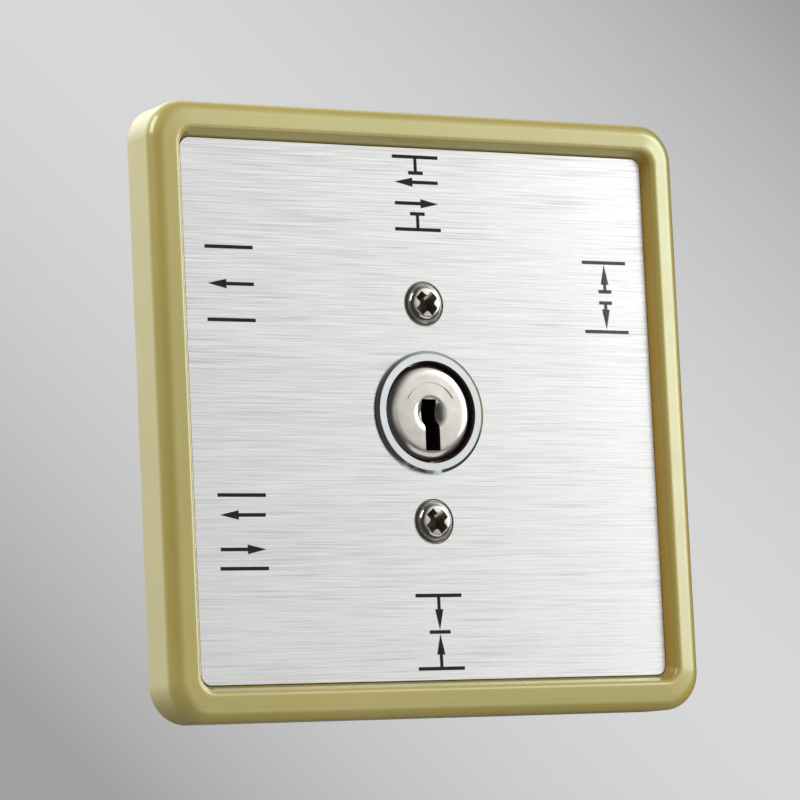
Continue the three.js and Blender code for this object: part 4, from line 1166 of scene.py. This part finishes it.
HOUSING_FRONT = HOUSING_LOW.y
HOUSING_BACK = HOUSING_HIGH.y
HOUSING_FLOOR = 2.4
HOUSING_WALL = 1.8
HOUSING_CORNER_R = 4.0
CORNER_SCREW = 18.6
BOSS_R = 3.2
BRIDGE_BOSS_R = 2.9
BRIDGE_BOSS_BACK = 10.0
BRIDGE_SCREW_DEPTH = 9.2
BOARD_SCREW_DEPTH = 12.0
LEAF_X = 13.0
LEAF_T = 0.45
STOP_ANGLE = math.radians(90)
STOP_HALF_ANGLE = math.radians(51)
STOP_BACK = 19.9
PANEL_DEPTH = 0.4
PANEL_PLACE = 8.2
PANEL_HALF = 6.6
CORNERS = [(sx * CORNER_SCREW, sz * CORNER_SCREW) for sx, sz in ((1, 1), (1, -1), (-1, -1), (-1, 1))]


def switch_housing():
    """Moulded cup with corner bosses, leaf-spring posts, a stop rib and sunk panels in its sides."""
    foot = HOUSING_FLOOR - 0.5
    outer = prism(rounded_square(HOUSING_HALF, HOUSING_CORNER_R), HOUSING_FRONT, HOUSING_BACK)
    inner_outline = rounded_square(HOUSING_HALF - HOUSING_WALL, HOUSING_CORNER_R - HOUSING_WALL)
    cavity = prism(inner_outline, HOUSING_FLOOR, HOUSING_BACK + 1)
    bosses = []
    for x, z in CORNERS:
        limit = prism(rounded_square(HOUSING_HALF - 0.1, HOUSING_CORNER_R), foot - 1, HOUSING_BACK + 1)
        bosses.append(boolean(cylinder(BOSS_R, foot, HOUSING_BACK, x, z), [limit], "INTERSECT"))
    screw_xs = (BRIDGE_SCREW_X, -BRIDGE_SCREW_X)
    bosses += [cylinder(BRIDGE_BOSS_R, foot, BRIDGE_BOSS_BACK, x, 0) for x in screw_xs]
    for side in (1, -1):
        zs = sorted((side * 12.9, side * 15.6))
        slot_zs = sorted((side * 12.5, side * 15))
        slot_xs = (LEAF_X - 0.25, LEAF_X + LEAF_T + 0.25)
        leaf_post = block(LEAF_X - 0.9, LEAF_X + 2.1, foot, STAR_HIGH.y + 0.4, *zs)
        bosses.append(cut(leaf_post, block(*slot_xs, STAR_LOW.y - 0.1, STAR_HIGH.y + 1, *slot_zs)))
    bosses.append(prism(sector(11.6, 14.6, STOP_ANGLE, STOP_HALF_ANGLE, 32), foot, STOP_BACK))
    cup = join(cut(outer, cavity), *bosses)
    tools = [hole(BRIDGE_HOLE_R, HOUSING_FRONT, HOUSING_FLOOR, sides=96)]
    tools += [hole(PILLAR_SPIGOT_R + 0.6, HOUSING_FRONT, HOUSING_FLOOR, 0, z) for z in (SCREW_Z, -SCREW_Z)]
    tools += [cylinder(1.65, HOUSING_FRONT - CLEAR, BRIDGE_SCREW_DEPTH, x, 0) for x in screw_xs]
    tools += [cylinder(1.5, BOARD_SCREW_DEPTH, HOUSING_BACK + CLEAR, x, z, 24) for x, z in CORNERS]
    for quarter in range(4):
        for along in (-PANEL_PLACE, PANEL_PLACE):
            xs = (along - PANEL_HALF, along + PANEL_HALF)
            zs = (HOUSING_HALF - PANEL_DEPTH, HOUSING_HALF + 1)
            panel = block(*xs, HOUSING_FRONT + 3, HOUSING_BACK - 3, *zs)
            tools.append(turned_mesh(panel, quarter * math.pi / 2))
    return cut(cup, *tools)


fine("switch_housing", switch_housing(), "housing_black", bevel=0.15)

# ---------------- indexing, rotor and wiper

STAR_MID_R = 8.5
STAR_HOLLOWS = 6
ROTOR_HUB_R = 6.0
ROTOR_DISC_R = 10.8
ROTOR_DISC_FRONT = 17.0
ROTOR_DISC_BACK = 20.0
LUG_R = 13.3
LUG_ANGLE = math.radians(150)
LUG_HALF_ANGLE = math.radians(8)
CONTACT_R = 14.0
COMMON_R = 7.75
POSITION_STEP = math.radians(60)
RIVET_R = 0.8
RIVET_SPOT_R = 13.4
WIPER_T = 0.35
WIPER_RING_R = 8.7
WIPER_ARM_HALF = 1.6
WIPER_TIP_R = 0.7


def star_wheel():
    """Six shallow hollows around the rim, one for each position and one spare."""
    outline = []
    steps = 240
    for i in range(steps):
        angle = 2 * math.pi * i / steps
        r = STAR_MID_R - math.cos(STAR_HOLLOWS * angle)
        outline.append((r * math.cos(angle), r * math.sin(angle)))
    return cut(
        prism(outline, STAR_LOW.y, STAR_HIGH.y),
        hole(ROTOR_HUB_R + 0.15, STAR_LOW.y, STAR_HIGH.y, sides=96))


fine("star_wheel", star_wheel(), "brass", bevel=0.1)


def index_spring():
    """Leaf held at both ends, with a rounded V in its middle."""
    low, high = box_mm("index_spring")
    upper = [(LEAF_X, high.z, 0), (LEAF_X, 4.2, 2.5), (low.x, 0.5, 0.45)]
    front = upper + [(x, -z, r) for x, z, r in reversed(upper)]
    back = [(x + LEAF_T, z, r) for x, z, r in reversed(front)]
    return prism(rounded(front + back, 6), low.y, high.y)


fine("index_spring", index_spring(), "spring_steel", bevel=0.06)


def rotor():
    hub_back = ROTOR_HUB_R - 0.2
    body = lathe([
        (0, ROTOR_LOW.y), (ROTOR_HUB_R, ROTOR_LOW.y), (ROTOR_HUB_R, ROTOR_DISC_FRONT),
        (ROTOR_DISC_R, ROTOR_DISC_FRONT), (ROTOR_DISC_R, ROTOR_DISC_BACK), (hub_back, ROTOR_DISC_BACK),
        (hub_back, ROTOR_HIGH.y), (0, ROTOR_HIGH.y),
    ], 128)
    lug_outline = sector(ROTOR_DISC_R - 1, LUG_R, LUG_ANGLE, LUG_HALF_ANGLE)
    lug = prism(lug_outline, ROTOR_DISC_FRONT, ROTOR_DISC_BACK - 0.2)
    socket = prism(rounded_square(TAIL_HALF + 0.2, 0.3, 4), ROTOR_LOW.y - 1, ROTOR_HIGH.y + 1)
    return cut(join(body, lug), socket)


fine("rotor", rotor(), "rotor_white", bevel=0.15)


def wiper():
    """Ring with a split arm and three domed contact tips."""
    low, high = box_mm("wiper")
    front, back = low.y, low.y + WIPER_T
    ring = washer(ROTOR_HUB_R + 0.1, WIPER_RING_R, front, back)
    zs = (-CONTACT_R - 1.2, -ROTOR_HUB_R - 0.6)
    arm = prism(rounded_box(-WIPER_ARM_HALF, WIPER_ARM_HALF, *zs, 0.5, 5), front, back)
    dome = arc((0.3, back), (WIPER_TIP_R, back), (0.3, high.y), 6)
    tip = [(0, front + 0.1), (WIPER_TIP_R, front + 0.1), *dome, (0, high.y)]
    tips = [lathe(tip, 24, x, z) for x, z in ((0.8, -CONTACT_R), (-0.8, -CONTACT_R), (0, COMMON_R))]
    split = block(-0.2, 0.2, front - 1, back + 1, -CONTACT_R - 2, -CONTACT_R + 3.4)
    return cut(join(ring, arm, *tips), split)


fine("wiper", wiper(), "brass")

# ---------------- contact board and fixed contacts

POSITION_NAMES = ["locked", "automatic", "exit_only", "part_open", "held_open"]
CONTACT_LOW, CONTACT_HIGH = box_mm("contact_locked")
PAD_BACK = 21.9
PAD_INNER_R = 12.2
PAD_OUTER_R = 15.6
PAD_HALF_ANGLE = 0.24
COMMON_HALF = 0.9
SPOTS = [position_direction(i * POSITION_STEP) * RIVET_SPOT_R for i in range(5)]
COMMON_SPOT = position_direction(5 * POSITION_STEP) * COMMON_R
TERMINAL_COUNT = 6
TERMINAL_PITCH = 5.08
TERMINAL_ZS = [(i - (TERMINAL_COUNT - 1) / 2) * TERMINAL_PITCH for i in range(TERMINAL_COUNT)]
TRACE_T = 0.04
TRACE_HALF = 0.5
TRACE_RING_R = 9.0
TRACE_PAD_R = 1.8


def trace(points):
    """Flat conductor on the board's back: a pad around its rivet, then straight runs."""
    y0, y1 = BOARD_BACK - 0.2, BOARD_BACK + TRACE_T
    runs = [cylinder(TRACE_PAD_R, y0, y1, *points[0], 32)]
    for start, end in zip(points, points[1:]):
        start, end = Vector(start), Vector(end)
        along = (end - start).normalized() * TRACE_HALF
        side = Vector((-along.y, along.x))
        start = start - 0.4 * along
        end = end + 0.4 * along
        runs.append(prism([start - side, end - side, end + side, start + side], y0, y1))
    return runs


def ring_run(start, end, steps=8):
    """Points around the rotor's hub, between two angles in degrees."""
    angles = [math.radians(start + (end - start) * i / steps) for i in range(steps + 1)]
    return [(TRACE_RING_R * math.cos(angle), TRACE_RING_R * math.sin(angle)) for angle in angles]


def trace_routes():
    """One route from each rivet to its terminal, none crossing another."""
    edge = BLOCK_LOW.x - 0.3
    z = TERMINAL_ZS
    return [
        [SPOTS[0], (edge - 1.5, SPOTS[0].y), (edge, z[0])],
        [SPOTS[1], *ring_run(210, 300), (edge, z[1])],
        [COMMON_SPOT, (COMMON_SPOT.x + 1.8, z[2]), (edge, z[2])],
        [SPOTS[2], *ring_run(150, 30), (TRACE_RING_R + 0.8, z[3]), (edge, z[3])],
        [SPOTS[4], (edge, z[4])],
        [SPOTS[3], (edge - 1.5, SPOTS[3].y), (edge, z[5])],
    ]


def contact_board():
    sheet = prism(rounded_square(HOUSING_HALF, HOUSING_CORNER_R), BOARD_FRONT, BOARD_BACK)
    tools = [hole(ROTOR_HUB_R + 0.1, BOARD_FRONT, BOARD_BACK, sides=96)]
    tools += [hole(RIVET_R + 0.25, BOARD_FRONT, BOARD_BACK, *spot, 24) for spot in [*SPOTS, COMMON_SPOT]]
    tools += [hole(1.7, BOARD_FRONT, BOARD_BACK, x, z, 32) for x, z in CORNERS]
    runs = [run for route in trace_routes() for run in trace(route)]
    return cut(join(sheet, *runs), *tools)


def on_trace(centre, normal):
    return centre.y > BOARD_BACK + 0.25 * TRACE_T


coat_faces(fine("contact_board", contact_board(), "board_brown"), BOARD_TRACE, on_trace)


def rivet(spot):
    """Stem through the board, spread over on the back, with a solder tail."""
    back, tip = BOARD_BACK + 0.1, CONTACT_HIGH.y
    return lathe([
        (0, PAD_BACK - 0.2), (RIVET_R, PAD_BACK - 0.2), (RIVET_R, back), (1.3, back),
        *arc((0.85, back + 0.12), (1.3, back + 0.12), (0.85, back + 0.5), 5),
        (0.78, back + 0.5), (0.7, tip - 0.1), (0.55, tip), (0, tip),
    ], 32, *spot)


for i, name in enumerate(POSITION_NAMES):
    outline = sector(PAD_INNER_R, PAD_OUTER_R, i * POSITION_STEP, PAD_HALF_ANGLE)
    pad = prism(outline, CONTACT_LOW.y, PAD_BACK)
    fine("contact_" + name, join(pad, rivet(SPOTS[i])), "brass", bevel=0.08)
common_ring = washer(COMMON_R - COMMON_HALF, COMMON_R + COMMON_HALF, CONTACT_LOW.y, PAD_BACK)
fine("contact_common", join(common_ring, rivet(COMMON_SPOT)), "brass", bevel=0.08)

# ---------------- terminal block

TERMINAL_X = 17.0
CLAMP_HALF = 1.75
WELL_R = 2.1
GROOVE_HALF = 0.18
CAGE_LOW, CAGE_HIGH = box_mm("terminal_clamp_1")


def terminal_block():
    """Green row of six places, each with a square wire entry in its side and a screw well in its back."""
    x0, x1 = BLOCK_LOW.x, BLOCK_HIGH.x
    y0, y1 = BLOCK_LOW.y, BLOCK_HIGH.y
    half_z = BLOCK_HIGH.z
    profile = [(x0, y0), (x1, y0), (x1, y1 - 2.2), (x1 - 1.6, y1), (x0 + 0.6, y1), (x0, y1 - 0.6)]
    body = skin([[(x, y, z) for x, y in profile] for z in (-half_z, half_z)])
    tools = []
    for z in TERMINAL_ZS:
        entry_ys = (CAGE_LOW.y - 0.3, CAGE_HIGH.y + 0.3)
        tools.append(block(TERMINAL_X - 2.6, x1 + 1, *entry_ys, z - 2.05, z + 2.05))
        tools.append(cylinder(WELL_R, CAGE_HIGH.y, y1 + 1, TERMINAL_X, z, 40))
    for z in TERMINAL_ZS[1:]:
        middle = z - TERMINAL_PITCH / 2
        zs = (middle - GROOVE_HALF, middle + GROOVE_HALF)
        tools.append(block(x0 - 1, x1 + 1, y1 - 0.5, y1 + 1, *zs))
        tools.append(block(x1 - 0.35, x1 + 1, y0 - 1, y1 + 1, *zs))
        tools.append(block(x0 - 1, x0 + 0.35, y0 - 1, y1 + 1, *zs))
    return cut(body, *tools)


fine("terminal_block", terminal_block(), "terminal_green", bevel=0.1)


def terminal_clamp(z):
    """Folded cage with a wire window and a tapped hole for its screw."""
    outline = rounded_box(CAGE_LOW.x, CAGE_HIGH.x, z - CLAMP_HALF, z + CLAMP_HALF, 0.4, 5)
    shell = prism(outline, CAGE_LOW.y, CAGE_HIGH.y)
    window = block(TERMINAL_X - 3, TERMINAL_X + 3, CAGE_LOW.y + 0.6, CAGE_LOW.y + 3.2, z - 1.2, z + 1.2)
    bore = cylinder(1.25, CAGE_LOW.y + 1, CAGE_HIGH.y + 1, TERMINAL_X, z, 24)
    return cut(shell, window, bore)


for i, z in enumerate(TERMINAL_ZS):
    fine(f"terminal_clamp_{i + 1}", terminal_clamp(z), "zinc_plate", bevel=0.08)

# ---------------- camera

CAMERA_AZIMUTH = math.radians(-30.23)
CAMERA_ELEVATION = math.radians(-6.13)
CAMERA_ROLL = math.radians(2.68)
CAMERA_DISTANCE = 579.5
CAMERA_AIM = Vector((-4.60, PLATE_FRONT + 0.06, 1.71))
CAMERA_LENS = 184.9


def direction(azimuth, elevation):
    """Unit vector towards a place in front: azimuth grows to the right, elevation upwards."""
    flat = math.cos(elevation)
    return Vector((math.sin(azimuth) * flat, -math.cos(azimuth) * flat, math.sin(elevation)))


camera = bpy.data.objects.new("camera", bpy.data.cameras.new("camera"))
bpy.context.scene.collection.objects.link(camera)
camera.data.lens = CAMERA_LENS
camera.data.clip_start = 0.01
camera.data.clip_end = 20
back_way = direction(CAMERA_AZIMUTH, CAMERA_ELEVATION)
camera.location = (CAMERA_AIM + back_way * CAMERA_DISTANCE) * MM
camera.rotation_mode = "QUATERNION"
level = (-back_way).to_track_quat("-Z", "Y").to_matrix()
camera.rotation_quaternion = (level @ Matrix.Rotation(-CAMERA_ROLL, 3, "Z")).to_quaternion()
bpy.context.scene.camera = camera

# ---------------- studio

bpy.context.scene.view_settings.view_transform = "Standard"
BACKDROP_SHIFT = 0.009
BACKDROP_BRIGHT = 0.682
BACKDROP_BEND = 1.8
BACKDROP_FALL = 13.6
BACKDROP_DIM = 0.355
SURROUND = 0.05
# Each field: azimuth and elevation in degrees, how tight it is, and its strength.
FIELDS = [
    (42, 23, 8.5, 1.44),
    (-155, 16, 6, 0.88),
    (180, 45, 6, 1.7),
    (0, 4, 34, 0.38),
]


def studio_world():
    """Backdrop for the camera, bright along one diagonal, and soft fields of light for reflections."""
    world = bpy.data.worlds.new("studio")
    bpy.context.scene.world = world
    world.use_nodes = True
    tree = world.node_tree
    nodes, links = tree.nodes, tree.links
    place = nodes.new("ShaderNodeTexCoord").outputs["Generated"]

    def dot(way):
        node = nodes.new("ShaderNodeVectorMath")
        node.operation = "DOT_PRODUCT"
        node.inputs[1].default_value = way
        links.new(place, node.inputs[0])
        return node.outputs["Value"]

    turn = camera.rotation_quaternion.to_matrix()
    diagonal = dot((turn @ Vector((1, 1, 0))).normalized())
    across = calc(tree, "ABSOLUTE", calc(tree, "SUBTRACT", diagonal, BACKDROP_SHIFT))
    fall = calc(tree, "MULTIPLY", calc(tree, "POWER", across, BACKDROP_BEND), BACKDROP_FALL)
    backdrop = calc(tree, "MAXIMUM", calc(tree, "SUBTRACT", BACKDROP_BRIGHT, fall), BACKDROP_DIM)
    field = SURROUND
    for azimuth, elevation, tightness, strength in FIELDS:
        lobe = calc(tree, "MAXIMUM", dot(direction(math.radians(azimuth), math.radians(elevation))))
        lobe = calc(tree, "MULTIPLY", calc(tree, "POWER", lobe, tightness), strength)
        field = calc(tree, "ADD", field, lobe)
    seen = nodes.new("ShaderNodeMix")
    links.new(nodes.new("ShaderNodeLightPath").outputs["Is Camera Ray"], seen.inputs["Factor"])
    links.new(field, seen.inputs["A"])
    links.new(backdrop, seen.inputs["B"])
    links.new(seen.outputs["Result"], nodes["Background"].inputs["Color"])


studio_world()


def soft_light(name, azimuth, elevation, away, width, height, radiance, mirrored=True):
    """Rectangular softbox that faces the lock. Its angles are in degrees and its lengths in millimetres."""
    data = bpy.data.lights.new(name, "AREA")
    data.shape = "RECTANGLE"
    data.size = width * MM
    data.size_y = height * MM
    data.energy = radiance * data.size * data.size_y * math.pi
    light = bpy.data.objects.new(name, data)
    bpy.context.scene.collection.objects.link(light)
    way = direction(math.radians(azimuth), math.radians(elevation))
    light.location = way * away * MM
    light.rotation_mode = "QUATERNION"
    light.rotation_quaternion = (-way).to_track_quat("-Z", "Y")
    light.visible_camera = False
    light.visible_glossy = mirrored
    return light


soft_light("low_panel", 28, -32, 700, 500, 300, 0.8)
soft_light("rear_spot", -170, 47, 900, 130, 130, 9.0)
soft_light("key_panel", 55.6, 16, 900, 440, 560, 3.5)
soft_light("fill_front", -45, 45, 900, 500, 500, 2.3, mirrored=False)
soft_light("fill_left", -88, 40, 900, 400, 600, 4.7)

FLOOR_Z = -600
FLOOR_HALF = 3000
floor_corners = rounded_box(-FLOOR_HALF, FLOOR_HALF, -FLOOR_HALF, FLOOR_HALF, 0)
floor_mesh = mesh_of([(x, y, FLOOR_Z) for x, y in floor_corners], [[0, 1, 2, 3]])
floor_mesh.transform(Matrix.Scale(MM, 4))
floor = bpy.data.objects.new("floor", floor_mesh)
bpy.context.scene.collection.objects.link(floor)
floor_look = Look("floor", Metallic=0.0)
floor_look.colour(floor_look.mix(floor_look.noise(60, 2), (0.60, 0.60, 0.60), (0.64, 0.64, 0.64)))
floor_look.roughness(20, 2, 0.7, 0.85)
floor.data.materials.append(floor_look.material)
floor.visible_glossy = False
